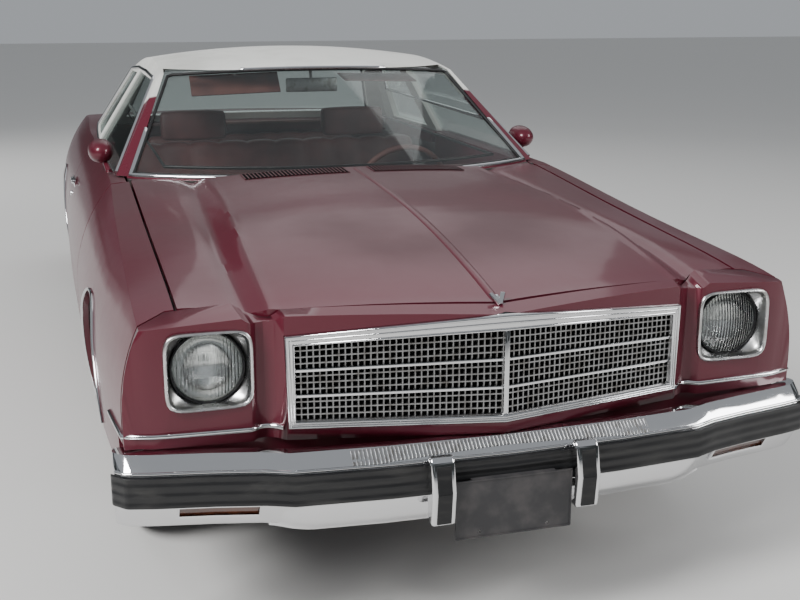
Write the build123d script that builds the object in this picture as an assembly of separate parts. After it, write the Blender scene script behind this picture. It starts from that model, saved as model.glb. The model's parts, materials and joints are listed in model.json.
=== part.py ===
"""Two-door hardtop muscle car of the middle 1970s, as separate panels, glass, frame and running gear.

Millimetres. +X is the car's left, -Y is the front, +Z is up. The origin is on the ground below the
middle of the car's box. Body panels are cut out of one lofted body form, so their seams line up.
"""
from build123d import *
import math
import os

os.makedirs("parts", exist_ok=True)

# Overall sizes and stations along the car
FRONT_AXLE_Y = -1570.0
WHEELBASE = 2845.0
REAR_AXLE_Y = FRONT_AXLE_Y + WHEELBASE
FRONT_TRACK = 1562.0
REAR_TRACK = 1542.0
SEAM = 8.0
SEAT_GAP = 0.3

# Wheels
TYRE_R = 345.0
TYRE_WIDTH = 208.0
BEAD_R = 178.0
RIM_WIDTH = 178.0
HUB_BORE_R = 36.0
BOLT_CIRCLE_R = 60.3
BOLT_HOLE_R = 6.5
ARCH_R = 382.0
ARCH_CENTRE_Z = 337.0
KINGPIN_INSET = 36.0

# Lower body: sheet and wall thicknesses, sill, belt
FENDER_WALL = 18.0
DOOR_WALL = 110.0
QUARTER_WALL = 60.0
HOOD_WALL = 24.0
LID_WALL = 26.0
SILL_Z = 205.0
SILL_SEAM_Z = 258.0
BELT_Z = 948.0
FLOOR_HALF = 700.0
BELT_INNER_X = 760.0

# Doors
DOOR_FRONT_Y = -901.0
DOOR_REAR_Y = 335.0
DOOR_HINGE_X = 970.0
JAMB_SLOPE = 0.2
DOOR_REAR_GAP = 9.0
COWL_SIDE_X = 772.0
COWL_SIDE_Y = -760.0

# Hood and boot lid
HOOD_EDGE_X = 762.0
HOOD_REAR_CENTRE_Y = -1066.0
HOOD_REAR_CORNER = (754.0, -854.0)
HOOD_PIN_Y, HOOD_PIN_Z = -872.0, 944.6
LID_EDGE_X = 686.0
LID_FRONT_Y = 1296.0
LID_FRONT_GAP = 15.0
LID_PIN_Y, LID_PIN_Z = 1289.0, 951.0
HINGE_PIN_R = 5.0
LID_REAR_Y = 2440.0
LID_LIP_Z = 856.0

# Cabin roof and glass
ROOF_TOP_Z = 1368.0
ROOF_PEAK_Y = 100.0
ROOF_LONG_R = 3025.0
ROOF_CROSS_R = 3900.0
ROOF_WALL = 30.0
GLASS = 6.0
GLASS_SINK = 4.0

# Body sections: y, half width at the widest line, its z, x and z of the crease, z on the centre line
BODY_SECTIONS = [
    (-2580.0, 884.0, 600.0, 842.0, 782.0, 822.0),
    (-2440.0, 902.0, 600.0, 858.0, 815.0, 852.0),
    (-2100.0, 936.0, 592.0, 862.0, 850.0, 915.0),
    (-1570.0, 958.0, 590.0, 852.0, 884.0, 965.0),
    (-850.0, 968.0, 585.0, 830.0, 948.0, 992.0),
    (600.0, 970.0, 580.0, 828.0, 946.0, 975.0),
    (1275.0, 966.0, 580.0, 818.0, 932.0, 958.0),
    (2000.0, 940.0, 585.0, 800.0, 906.0, 930.0),
    (2545.0, 878.0, 590.0, 765.0, 868.0, 885.0),
]

# Hood sections: y, z on the centre line, ridge x and z, valley x and z, edge z
HOOD_SECTIONS = [
    (-2500.0, 838.0, 548.0, 812.0, 598.0, 796.0, 815.0),
    (-2300.0, 880.0, 556.0, 858.0, 604.0, 838.0, 852.0),
    (-1950.0, 936.0, 548.0, 918.0, 600.0, 886.0, 886.0),
    (-1500.0, 976.0, 522.0, 952.0, 582.0, 921.0, 916.0),
    (-830.0, 1004.0, 496.0, 970.0, 550.0, 954.0, 958.0),
]


def line(a, b):
    return Edge.make_line(a, b)


def arc(a, b, c):
    return Edge.make_three_point_arc(a, b, c)


def block(x0, x1, y0, y1, z0, z1):
    return Pos((x0 + x1) / 2, (y0 + y1) / 2, (z0 + z1) / 2) * Box(x1 - x0, y1 - y0, z1 - z0)


def face_of(points):
    return Face(Wire.make_polygon([Vector(*p) for p in points], close=True))


def plan(points, z0, z1):
    """Prism whose outline is given by x, y pairs."""
    return Solid.extrude(face_of([(x, y, z0) for x, y in points]), Vector(0, 0, z1 - z0))


def side_view(points, x0, x1):
    """Prism whose outline is given by y, z pairs."""
    return Solid.extrude(face_of([(x0, y, z) for y, z in points]), Vector(x1 - x0, 0, 0))


def front_view(points, y0, y1):
    """Prism whose outline is given by x, z pairs."""
    return Solid.extrude(face_of([(x, y0, z) for x, z in points]), Vector(0, y1 - y0, 0))


def rod(a, b, radius):
    """Round bar between two points."""
    start, end = Vector(*a), Vector(*b)
    return Solid.make_cylinder(radius, (end - start).length, Plane(start, z_dir=(end - start).normalized()))


def turned(points, y, z, x, outward):
    """Body of revolution about a cross-car axis. points are distance outward, radius."""
    profile = face_of([(x + outward * d, y, z + r) for d, r in points])
    return Solid.revolve(profile, 360, Axis((x, y, z), (1, 0, 0)))


def mirrored(shape):
    return mirror(shape, about=Plane.YZ)


def save(name, *shapes):
    solids = []
    for shape in shapes:
        solids.extend(shape.solids())
    export_step(Compound(children=solids) if len(solids) > 1 else solids[0], f"parts/{name}.step")


def body_form(inset):
    """The lower body's outside, drawn in by inset all round."""
    wires = []
    for y, widest, z_widest, crease_x, crease_z, centre_z in BODY_SECTIONS:
        w, cx, cz, top = widest - inset, crease_x - inset, crease_z - inset, centre_z - inset
        low = SILL_Z + inset
        mid_x, mid_z = w - 0.30 * (w - cx), z_widest + 0.58 * (cz - z_widest)
        half = [
            ((w - 150, low), None, (w - 44, low + 12)),
            ((w - 44, low + 12), (w - 10, (low + z_widest) / 2), (w, z_widest)),
            ((w, z_widest), (mid_x, mid_z), (cx, cz)),
        ]
        edges = [line((-(w - 150), y, low), (w - 150, y, low))]
        for a, m, b in half:
            a3, b3 = (a[0], y, a[1]), (b[0], y, b[1])
            edges.append(line(a3, b3) if m is None else arc(a3, (m[0], y, m[1]), b3))
        edges.append(arc((cx, y, cz), (0, y, top), (-cx, y, cz)))
        for a, m, b in reversed(half):
            a3, b3 = (-b[0], y, b[1]), (-a[0], y, a[1])
            edges.append(line(a3, b3) if m is None else arc(a3, (-m[0], y, m[1]), b3))
        wires.append(Wire(edges))
    return Solid.make_loft(wires, ruled=False)


# Cabin outline low and high: z, front corner x y, front middle y, side middle x, rear corner x y,
# rear middle y
CABIN_OUTLINES = [
    (925.0, 821.3, -812.2, -1098.8, 832.0, 792.4, 1134.6, 1250.6),
    (1400.0, 526.8, -236.2, -315.0, 534.5, 527.0, 671.5, 757.8),
]


def cabin_form(inset):
    """The windows' and pillars' outer form, a ruled skin between two arched outlines."""
    wires = []
    for z, fx, fy, fm, sx, rx, ry, rm in CABIN_OUTLINES:
        fx, sx, rx = fx - inset, sx - inset, rx - inset
        fy, fm, ry, rm = fy + inset, fm + inset, ry - inset, rm - inset
        wires.append(Wire([
            arc((-fx, fy, z), (0, fm, z), (fx, fy, z)),
            arc((fx, fy, z), (sx, 150, z), (rx, ry, z)),
            arc((rx, ry, z), (0, rm, z), (-rx, ry, z)),
            arc((-rx, ry, z), (-sx, 150, z), (-fx, fy, z)),
        ]))
    form = Solid.make_loft(wires, ruled=True)
    top = ROOF_TOP_Z - inset
    reach = 900.0
    drop = ROOF_CROSS_R - math.sqrt(ROOF_CROSS_R**2 - reach**2)
    crown = Face(Wire([
        arc((-reach, ROOF_PEAK_Y, top - drop), (0, ROOF_PEAK_Y, top), (reach, ROOF_PEAK_Y, top - drop)),
        line((reach, ROOF_PEAK_Y, top - drop), (reach, ROOF_PEAK_Y, top - ROOF_LONG_R + 900)),
        line((reach, ROOF_PEAK_Y, top - ROOF_LONG_R + 900), (-reach, ROOF_PEAK_Y, top - ROOF_LONG_R + 900)),
        line((-reach, ROOF_PEAK_Y, top - ROOF_LONG_R + 900), (-reach, ROOF_PEAK_Y, top - drop)),
    ]))
    axis = Axis((0, ROOF_PEAK_Y, ROOF_TOP_Z - ROOF_LONG_R), (1, 0, 0))
    dome = Solid.revolve(crown.rotate(axis, -30), 60, axis)
    return form & dome


def hood_form(drop):
    """Closed form under the hood's outer face, lowered by drop, down to a flat base."""
    wires = []
    for y, zc, rx, rz, vx, vz, ez in HOOD_SECTIONS:
        edge = HOOD_EDGE_X + 20
        base = 700.0
        half = [((edge, ez), (vx, vz)), ((vx, vz), (rx, rz))]
        edges = [line((-edge, y, base), (edge, y, base)), line((edge, y, base), (edge, y, ez - drop))]
        edges += [line((a[0], y, a[1] - drop), (b[0], y, b[1] - drop)) for a, b in half]
        edges.append(arc((rx, y, rz - drop), (0, y, zc - drop), (-rx, y, rz - drop)))
        edges += [line((-b[0], y, b[1] - drop), (-a[0], y, a[1] - drop)) for a, b in reversed(half)]
        edges.append(line((-edge, y, ez - drop), (-edge, y, base)))
        wires.append(Wire(edges))
    return Solid.make_loft(wires, ruled=False)


def jamb_y(x, gap):
    """The door's slanted rear edge, moved back by gap."""
    return DOOR_REAR_Y + gap - JAMB_SLOPE * (DOOR_HINGE_X - x)


def v_plan(points, depth_points, z0, z1):
    """Prism over a symmetrical plan: front points from the middle out, then the rear ones back in."""
    right = points + list(reversed(depth_points))
    left = [(-x, y) for x, y in reversed(right) if x != 0]
    return plan(right + left, z0, z1)


BIG = 3000.0
body = body_form(0)
above_belt = block(-BIG, BIG, -905, 1232, BELT_Z, 1500)


# Doors: whole thickness, slanted rear jamb, belt cut flat under the glass
DOOR_BOTTOM_Z = 264.0
DOOR_TRIM_X = 812.0
door_outline = [
    (BELT_INNER_X, DOOR_FRONT_Y), (1010, DOOR_FRONT_Y), (1010, jamb_y(1010, 0)),
    (BELT_INNER_X, jamb_y(BELT_INNER_X, 0)),
]
door = body & plan(door_outline, DOOR_BOTTOM_Z, BELT_Z)
door = door - body_form(DOOR_WALL)
door = door - block(600, COWL_SIDE_X + 6, -1000, COWL_SIDE_Y, 0, 1200)
door = door - block(600, DOOR_TRIM_X, -1000, 400, 0, 800)
save("door_left", door)
save("door_right", mirrored(door))

# Rocker panels under the doors
ROCKER_INNER_X = FLOOR_HALF + 16.0
ARCH_MARGIN = 6.0
rocker_front_y = FRONT_AXLE_Y + ARCH_R + ARCH_MARGIN
rocker_rear_y = REAR_AXLE_Y - ARCH_R - ARCH_MARGIN
rocker = body & block(ROCKER_INNER_X, 1010, rocker_front_y, rocker_rear_y, 150, SILL_SEAM_Z - SEAT_GAP)
save("rocker_panels", rocker, mirrored(rocker))


def arch_cut(axle_y, radius):
    return rod((500, axle_y, ARCH_CENTRE_Z), (1100, axle_y, ARCH_CENTRE_Z), radius)


# Seam between nose cap and hood or fender, from the middle out: x, y
NOSE_SEAM = [(0, -2470), (555, -2377), (624, -2311), (793, -2302), (862, -2364), (1010, -2374)]


def seam_y(gap, upto=None):
    return [(x, y + gap) for x, y in NOSE_SEAM if upto is None or x <= upto]


# Front fenders: outer sheet with a baffle inside its front edge
FENDER_NOSE_BOTTOM_Z = 430.0
SUPPORT_FRONT_Y = -2301.7
SUPPORT_REAR_Y = -2288.0
fender_inner = body_form(FENDER_WALL)
fender_outline = [
    (HOOD_EDGE_X + SEAM, DOOR_FRONT_Y - SEAM), (HOOD_EDGE_X + SEAM, -2304 + SEAM), (793, -2302 + SEAM),
    (862, -2364 + SEAM), (1010, -2374 + SEAM), (1010, DOOR_FRONT_Y - SEAM),
]
fender_block = plan(fender_outline, SILL_SEAM_Z, 1000)
fender = (body - fender_inner) & fender_block
baffle = body & block(700, 1000, SUPPORT_REAR_Y + SEAT_GAP, SUPPORT_REAR_Y + 12, 560, 795)
fender = fender + baffle
fender = fender - arch_cut(FRONT_AXLE_Y, ARCH_R)
fender = fender - block(600, 1100, -2600, FRONT_AXLE_Y - 100, 0, FENDER_NOSE_BOTTOM_Z)
fender = fender - block(600, 1100, -2600, SUPPORT_REAR_Y - 12, 0, 540)
save("front_fenders", fender, mirrored(fender))

# Hood: raised middle with a ridge and a valley each side
HOOD_FRONT_GAP = 11.0
hood_front = [(x, y + HOOD_FRONT_GAP) for x, y in NOSE_SEAM[:3]] + [(HOOD_EDGE_X, -2304 + HOOD_FRONT_GAP)]
hood_left = [(x, y, 0) for x, y in hood_front] + [(*HOOD_REAR_CORNER, 0)]
hood_right = [(-x, y, z) for x, y, z in hood_left]
hood_edges = []
for side in (hood_left, hood_right):
    hood_edges += [line(a, b) for a, b in zip(side, side[1:])]
hood_edges.append(arc(hood_left[-1], (0, HOOD_REAR_CENTRE_Y, 0), hood_right[-1]))
hood_face = Face(Wire(hood_edges))
hood = (hood_form(0) - hood_form(HOOD_WALL)) & Solid.extrude(hood_face, Vector(0, 0, 1200))
HOOD_PIN_END_X = 767.0
hood_pin = rod((735, HOOD_PIN_Y, HOOD_PIN_Z), (HOOD_PIN_END_X, HOOD_PIN_Y, HOOD_PIN_Z), HINGE_PIN_R)
save("hood", hood + hood_pin + mirrored(hood_pin))

# Quarter panels with the strip of deck between them under the rear window
quarter_form = body - body_form(QUARTER_WALL)
QUARTER_INNER_X = 640.0 + SEAT_GAP
QUARTER_REAR_Y = 2450.0 - SEAT_GAP
quarter_outline = [
    (QUARTER_INNER_X, jamb_y(QUARTER_INNER_X, DOOR_REAR_GAP)), (1010, jamb_y(1010, DOOR_REAR_GAP)),
    (1010, QUARTER_REAR_Y), (QUARTER_INNER_X, QUARTER_REAR_Y),
]
quarter = quarter_form & plan(quarter_outline, SILL_SEAM_Z, 1100)
quarter = quarter - arch_cut(REAR_AXLE_Y, ARCH_R) - above_belt
quarter = quarter - block(0, 745, 0, 1110, 600, 1100) - block(0, 800, 0, 2600, 0, 330)
DECK_REAR_Y = LID_FRONT_Y - LID_FRONT_GAP
quarter = quarter - block(0, LID_EDGE_X + SEAM, DECK_REAR_Y, LID_REAR_Y + 30, 600, 1100)
deck_strip = quarter_form & block(-640, 640, 1110, DECK_REAR_Y, 850, 1100)
deck_strip = deck_strip - above_belt

# Knuckle of the boot hinge in the middle of the seam: half length of the lid's part and of the whole
LID_KNUCKLE, WHOLE_KNUCKLE, KNUCKLE_R = 60.0, 120.0, 6.0


def knuckle_piece(x0, x1, leaf_y):
    barrel = rod((x0, LID_PIN_Y, LID_PIN_Z), (x1, LID_PIN_Y, LID_PIN_Z), KNUCKLE_R)
    leaf = block(x0, x1, min(leaf_y, LID_PIN_Y), max(leaf_y, LID_PIN_Y), LID_PIN_Z - KNUCKLE_R, LID_PIN_Z)
    return barrel + leaf


deck_knuckle = knuckle_piece(LID_KNUCKLE + SEAT_GAP, WHOLE_KNUCKLE, DECK_REAR_Y - 2)
deck_strip = deck_strip + deck_knuckle + mirrored(deck_knuckle)
save("quarter_panels", quarter, mirrored(quarter), deck_strip)

# Boot lid with its turned-down rear edge
LIP = 26.0
lid = (body - body_form(LID_WALL)) & block(-LID_EDGE_X, LID_EDGE_X, LID_FRONT_Y, LID_REAR_Y, 700, 1100)
lip = body & block(-LID_EDGE_X, LID_EDGE_X, LID_REAR_Y - LIP, LID_REAR_Y, LID_LIP_Z, 1100)
save("boot_lid", lid + lip + knuckle_piece(-LID_KNUCKLE, LID_KNUCKLE, LID_FRONT_Y + 2))

# Tail panel, raked, with its two lamps
TAIL_FRONT_Y = 2450.0
TAIL_LAMP = (320.0, 790.0, 640.0, 790.0)
tail = body & block(-BIG, BIG, TAIL_FRONT_Y, 2600, 400, 1000)
tail = tail - side_view([(2530, 380), (2500, 1000), (2800, 1000), (2800, 380)], -BIG, BIG)
x0, x1, z0, z1 = TAIL_LAMP
lamp_hole = block(x0, x1, 2468, 2700, z0, z1)
tail = tail - lamp_hole - mirrored(lamp_hole)
save("tail_panel", tail)
tail_lamp = block(x0 + SEAT_GAP, x1 - SEAT_GAP, 2468 + SEAT_GAP, 2522, z0 + SEAT_GAP, z1 - SEAT_GAP)
save("tail_lamps", tail_lamp, mirrored(tail_lamp))

# Nose cap: header over the grille, lamp pods and the bar under them
NOSE_BOTTOM_Z = 531.0
NOSE_FRONT = [
    (0, -2529), (526, -2424), (546, -2401), (570, -2388), (592, -2393), (606, -2408), (800, -2397),
    (846, -2392), (878, -2381), (940, -2377),
]
# Apron behind the bumper's top edge, from the middle out: x, y
APRON_FRONT = [(0, -2491), (526, -2392), (606, -2374), (800, -2362), (864, -2376)]
APRON_LOW_Z, APRON_WALL_Y = 486.0, 12.0
VALLEY_R = 70.0
VALLEY_START, VALLEY_END = (603, -2250, 920), (574, -2440, 886)
LAMP_X, LAMP_Z, LAMP_R = 705.0, 717.0, 89.0
BEZEL_W, BEZEL_H, BEZEL_CORNER = 194.0, 180.0, 26.0
GRILLE_FACE = [(0, -2535), (526, -2430)]
GRILLE_DEPTH = 40.0
GRILLE_OUTLINE = [(522, 562), (528, 794), (0, 836)]
GRILLE_OPENING = [(506, 576), (506, 770), (0, 795)]


def lamp_square(grow, y0, y1):
    """Rounded square prism round the lamp's centre."""
    square = RectangleRounded(BEZEL_W + 2 * grow, BEZEL_H + 2 * grow, BEZEL_CORNER)
    sketch = Plane((LAMP_X, y0, LAMP_Z), x_dir=(1, 0, 0), z_dir=(0, 1, 0)) * square
    return extrude(sketch, y1 - y0)


def grille_frame(corners):
    right = list(corners)
    left = [(-x, z) for x, z in reversed(right) if x != 0]
    return front_view(right + left, -2600, -2300)


def frame_moved(corners, margin):
    """Grille outline moved outward by margin."""
    return [(x + (margin if x else 0), z + (margin if z > 600 else -margin)) for x, z in corners]


nose_rear = [(x, y) for x, y in NOSE_SEAM if x < 1000] + [(940, -2370)]
nose = body & v_plan(NOSE_FRONT, nose_rear, NOSE_BOTTOM_Z, 1000)
apron_rear = [(x, y + APRON_WALL_Y) for x, y in APRON_FRONT]
nose = nose + v_plan(APRON_FRONT, apron_rear, APRON_LOW_Z, NOSE_BOTTOM_Z + 10)
valley = rod(VALLEY_START, VALLEY_END, VALLEY_R)
nose = nose - valley - mirrored(valley)
nose = nose - grille_frame(frame_moved(GRILLE_OUTLINE, SEAT_GAP))
pod_hole = lamp_square(SEAT_GAP, -2600, -2200)
nose = nose - pod_hole - mirrored(pod_hole)
save("nose_panel", nose)


def v_band(front_set, depth, z0, z1):
    """Band along the grille's shallow V, front_set behind its face."""
    front = [(x, y + front_set) for x, y in GRILLE_FACE]
    rear = [(x, y + front_set + depth) for x, y in GRILLE_FACE]
    front[-1], rear[-1] = (540, front[-1][1] + 2.8), (540, rear[-1][1] + 2.8)
    return v_plan(front, rear, z0, z1)


# Grille: bright surround and a mesh of square openings in three tiers each side of a middle bar
MESH_COLUMNS = 13
MESH_ROWS_PER_TIER = 2
MESH_TIERS = 3
TIER_BAR, MESH_BAR, MIDDLE_BAR = 9.0, 6.0, 12.0
surround = (grille_frame(GRILLE_OUTLINE) - grille_frame(GRILLE_OPENING)) & v_band(0, GRILLE_DEPTH, 500, 900)
mesh = v_band(16, 14, 577, 769)
mesh = mesh & grille_frame(frame_moved(GRILLE_OPENING, -SEAT_GAP))
tier_pitch = (762 - 582) / MESH_TIERS
row_pitch = (tier_pitch - TIER_BAR) / MESH_ROWS_PER_TIER
column_pitch = (502 - MIDDLE_BAR / 2) / MESH_COLUMNS
holes = []
for tier in range(MESH_TIERS):
    for row in range(MESH_ROWS_PER_TIER):
        low = 582 + TIER_BAR / 2 + tier * tier_pitch + row * row_pitch + MESH_BAR / 2
        for column in range(MESH_COLUMNS):
            left_edge = MIDDLE_BAR / 2 + column * column_pitch + MESH_BAR / 2
            right_edge = left_edge + column_pitch - MESH_BAR
            hole = block(left_edge, right_edge, -2600, -2300, low, low + row_pitch - MESH_BAR)
            holes += [hole, mirrored(hole)]
mesh = mesh - holes
save("grille_surround", surround)
save("grille_mesh", mesh)

# Headlamps with their square bezels
bezel = lamp_square(0, -2409, -2350) - rod((LAMP_X, -2600, LAMP_Z), (LAMP_X, -2200, LAMP_Z), LAMP_R)
save("lamp_bezels", bezel, mirrored(bezel))
LAMP_REAR_Y, LAMP_RIM_Y, LAMP_FRONT_Y = SUPPORT_FRONT_Y - SEAT_GAP, -2372.0, -2391.0
lamp_r = LAMP_R - SEAT_GAP
dome_r = (lamp_r**2 + (LAMP_RIM_Y - LAMP_FRONT_Y) ** 2) / (2 * (LAMP_RIM_Y - LAMP_FRONT_Y))
lamp = rod((LAMP_X, LAMP_FRONT_Y, LAMP_Z), (LAMP_X, LAMP_REAR_Y, LAMP_Z), lamp_r)
lamp = lamp & (Pos(LAMP_X, LAMP_FRONT_Y + dome_r, LAMP_Z) * Sphere(dome_r))
save("headlamps", lamp, mirrored(lamp))

# Bumpers: a bright pressed bar lofted between plan outlines, a rubber strip, guards and a plate
BAR_WALL = 30.0
BAR_TIP = 26.0
STRIP = 14.0
# Plan of the bar's face from the middle out: x, y
FRONT_BUMPER = [
    (0, -2570), (300, -2561), (534, -2540), (600, -2512), (713, -2484), (850, -2457), (915, -2440),
    (946, -2404),
]
REAR_BUMPER = [(0, 2600), (400, 2598), (700, 2592), (850, 2580), (915, 2562), (946, 2512)]
# Levels of the bar: z, how far its face is set back there
FRONT_LEVELS = [(324, 66), (350, 40), (411, 0), (488, 0), (506, 14), (527, 40)]
REAR_LEVELS = [(392, 14), (415, 4), (440, 0), (512, 0), (532, 6), (548, 14)]
GUARD_X, GUARD_WIDTH = 188.0, 62.0
FRONT_GUARD_REACH, REAR_GUARD_REACH = 57.5, 27.5
REAR_GUARD_X = 330.0
PLATE_WIDTH, PLATE_HEIGHT, PLATE_Z = 305.0, 152.0, 370.0
PLATE_BOLTS, PLATE_BOLT_Z, PLATE_HOLE_R = 178.0, 309.0, 3.5


def bar_ring(face, shift, z, depth, tip):
    """Closed plan outline of a bar, shift behind its face and depth thick, tip thick at its ends."""
    front = [(x, y + shift) for x, y in face]
    rear = [(x - (tip if x > 900 else 0), y + shift + depth) for x, y in reversed(face)]
    right = front + rear
    left = [(-x, y) for x, y in reversed(right) if x != 0]
    return Wire.make_polygon([Vector(x, y, z) for x, y in right + left], close=True)


def bumper_bar(face, levels, rearward):
    """Ruled loft through one outline at each level; rearward is +1 on the front bumper."""
    rings = [bar_ring(face, rearward * back, z, rearward * BAR_WALL, BAR_TIP) for z, back in levels]
    return Solid.make_loft(rings, ruled=True)


def rubber_strip(face, rearward, z0, z1):
    rings = [bar_ring(face, -rearward * STRIP, z, rearward * (STRIP - SEAT_GAP), 0) for z in (z0, z1)]
    return Solid.make_loft(rings, ruled=True)


def guard(x, outline):
    return side_view(outline, x - GUARD_WIDTH / 2, x + GUARD_WIDTH / 2)


front_bar = bumper_bar(FRONT_BUMPER, FRONT_LEVELS, 1)
PARKING_X, PARKING_W, PARKING_Z, PARKING_H = 703.5, 185.0, 390.0, 32.0


def parking_block(margin):
    half_w, half_h = PARKING_W / 2 - margin, PARKING_H / 2 - margin
    return Pos(PARKING_X, -2435, PARKING_Z) * Box(2 * half_w, 170, 2 * half_h)


parking_slot = parking_block(0)
front_bar = front_bar - parking_slot - mirrored(parking_slot)
# The lower edge steps up outside the guards: x, z
LOWER_STEP = [(470, 323), (500, 326), (535, 334), (570, 340), (1000, 340), (1000, 300), (470, 300)]
under_step = front_view(LOWER_STEP, -2700, -2200)
front_bar = front_bar - under_step - mirrored(under_step)
save("front_bumper", front_bar)
parking_lamp = parking_block(SEAT_GAP) & bumper_bar([(x, y + 3) for x, y in FRONT_BUMPER], FRONT_LEVELS, 1)
save("parking_lamps", parking_lamp, mirrored(parking_lamp))
save("front_bumper_strip", rubber_strip(FRONT_BUMPER, 1, 412, 487))
front_reach_y = FRONT_BUMPER[0][1] - FRONT_GUARD_REACH
front_guard = guard(GUARD_X, [
    (-2618, 345), (front_reach_y, 430), (-2612, 500), (-2596, 516), (-2579.6, 516), (-2579.6, 345),
])
save("front_bumper_guards", front_guard, mirrored(front_guard))
plate_low, plate_high = PLATE_Z - PLATE_HEIGHT / 2, PLATE_Z + PLATE_HEIGHT / 2
plate = block(-PLATE_WIDTH / 2, PLATE_WIDTH / 2, -2600, -2597, plate_low, plate_high)
plate = plate + block(-110, 110, -2597, -2584 - SEAT_GAP, 420, plate_high)
for bolt_x in (-PLATE_BOLTS / 2, PLATE_BOLTS / 2):
    plate = plate - rod((bolt_x, -2620, PLATE_BOLT_Z), (bolt_x, -2590, PLATE_BOLT_Z), PLATE_HOLE_R)
save("front_plate", plate)

rear_bar = bumper_bar(REAR_BUMPER, REAR_LEVELS, -1)
save("rear_bumper", rear_bar)
save("rear_bumper_strip", rubber_strip(REAR_BUMPER, -1, 441, 511))
rear_reach_y = REAR_BUMPER[0][1] + REAR_GUARD_REACH
rear_guard = guard(REAR_GUARD_X, [
    (2612.6, 360), (2622, 360), (rear_reach_y, 440), (rear_reach_y - 4, 520), (2618, 540), (2612.6, 540),
])
save("rear_bumper_guards", rear_guard, mirrored(rear_guard))

# Roof with pillars, and the glass cut from the same form
DOOR_GLASS = [(-702, BELT_Z + SEAT_GAP), (-296, 1252), (256, 1256), (322, BELT_Z + SEAT_GAP)]
QUARTER_GLASS = [(452, 964), (428, 1060), (398, 1160), (362, 1250), (700, 1240), (950, 964)]
WINDSHIELD = [(750, 962), (574, 1300)]
REAR_GLASS = [(640, 986), (520, 1292)]


def grown(points, margin):
    """Outline moved outward from its middle by about margin."""
    middle_a = sum(p[0] for p in points) / len(points)
    middle_b = sum(p[1] for p in points) / len(points)
    return [
        (a + math.copysign(margin, a - middle_a), b + math.copysign(margin, b - middle_b)) for a, b in points
    ]


def screen(corners, margin, y0, y1):
    """Prism through a windscreen opening: two right-hand corners, mirrored."""
    (xl, zl), (xh, zh) = corners
    xl, zl, xh, zh = xl + margin, zl - margin, xh + margin, zh + margin
    return front_view([(-xl, zl), (xl, zl), (xh, zh), (-xh, zh)], y0, y1)


cabin = cabin_form(0)
glass_form = cabin_form(GLASS_SINK) - cabin_form(GLASS_SINK + GLASS)
roof = cabin - cabin_form(ROOF_WALL)
DOOR_OPENING = [(-770, 900), (-716, 954), (-306, 1258), (264, 1262), (331, 948), (336, 900)]
door_opening = side_view(DOOR_OPENING, 300, 1100)
quarter_opening = side_view(grown(QUARTER_GLASS, SEAT_GAP), 300, 1100)
roof = roof - door_opening - mirrored(door_opening) - quarter_opening - mirrored(quarter_opening)
roof = roof - screen(WINDSHIELD, SEAT_GAP, -1300, -150) - screen(REAR_GLASS, SEAT_GAP, 400, 1400)
roof = roof - block(-BIG, BIG, -BIG, BIG, 0, BELT_Z + SEAT_GAP)
over_door = block(COWL_SIDE_X - 2, 1100, -1100, 337, 900, BELT_Z + 6)
roof = roof - over_door - mirrored(over_door)
save("roof", roof)
door_glass = glass_form & side_view(DOOR_GLASS, 300, 1100)
save("door_glass_left", door_glass)
save("door_glass_right", mirrored(door_glass))

# Door mirrors: a bullet head on a short stalk, standing on the door top
MIRROR_X, MIRROR_Y, MIRROR_Z, MIRROR_R = 845.0, -575.0, 1018.0, 46.0
head = rod((MIRROR_X, MIRROR_Y - 62, MIRROR_Z), (MIRROR_X, MIRROR_Y + 36, MIRROR_Z), MIRROR_R)
head = head & (Pos(MIRROR_X, MIRROR_Y + 36, MIRROR_Z) * scale(Sphere(MIRROR_R + 6), by=(1.0, 1.9, 0.86)))
MIRROR_FOOT_X, MIRROR_FOOT_R = 821.0, 12.0
foot_y = MIRROR_Y - 60
stalk = rod((MIRROR_FOOT_X, foot_y, BELT_Z + SEAT_GAP), (836, MIRROR_Y - 18, MIRROR_Z - 20), 9)
foot = rod((MIRROR_FOOT_X, foot_y, BELT_Z + SEAT_GAP), (MIRROR_FOOT_X, foot_y, BELT_Z + 7), MIRROR_FOOT_R)
stalk = stalk - block(700, 1000, -800, 0, 800, BELT_Z + SEAT_GAP)
door_mirror = head + stalk + foot
save("mirror_left", door_mirror)
save("mirror_right", mirrored(door_mirror))
quarter_glass = glass_form & side_view(QUARTER_GLASS, 300, 1100)
save("quarter_glass", quarter_glass, mirrored(quarter_glass))
save("windshield", glass_form & screen(WINDSHIELD, 0, -1300, -150))
save("rear_window", glass_form & screen(REAR_GLASS, 0, 400, 1400))


# Cowl: firewall, hinge pillars and the strip under the windscreen
def crescent(front_corner, front_middle, rear_corner, rear_middle, half, z0, z1):
    ends = Face(Wire([
        arc((-half, front_corner, z0), (0, front_middle, z0), (half, front_corner, z0)),
        line((half, front_corner, z0), (half, rear_corner, z0)),
        arc((half, rear_corner, z0), (0, rear_middle, z0), (-half, rear_corner, z0)),
        line((-half, rear_corner, z0), (-half, front_corner, z0)),
    ]))
    return Solid.extrude(ends, Vector(0, 0, z1 - z0))


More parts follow.
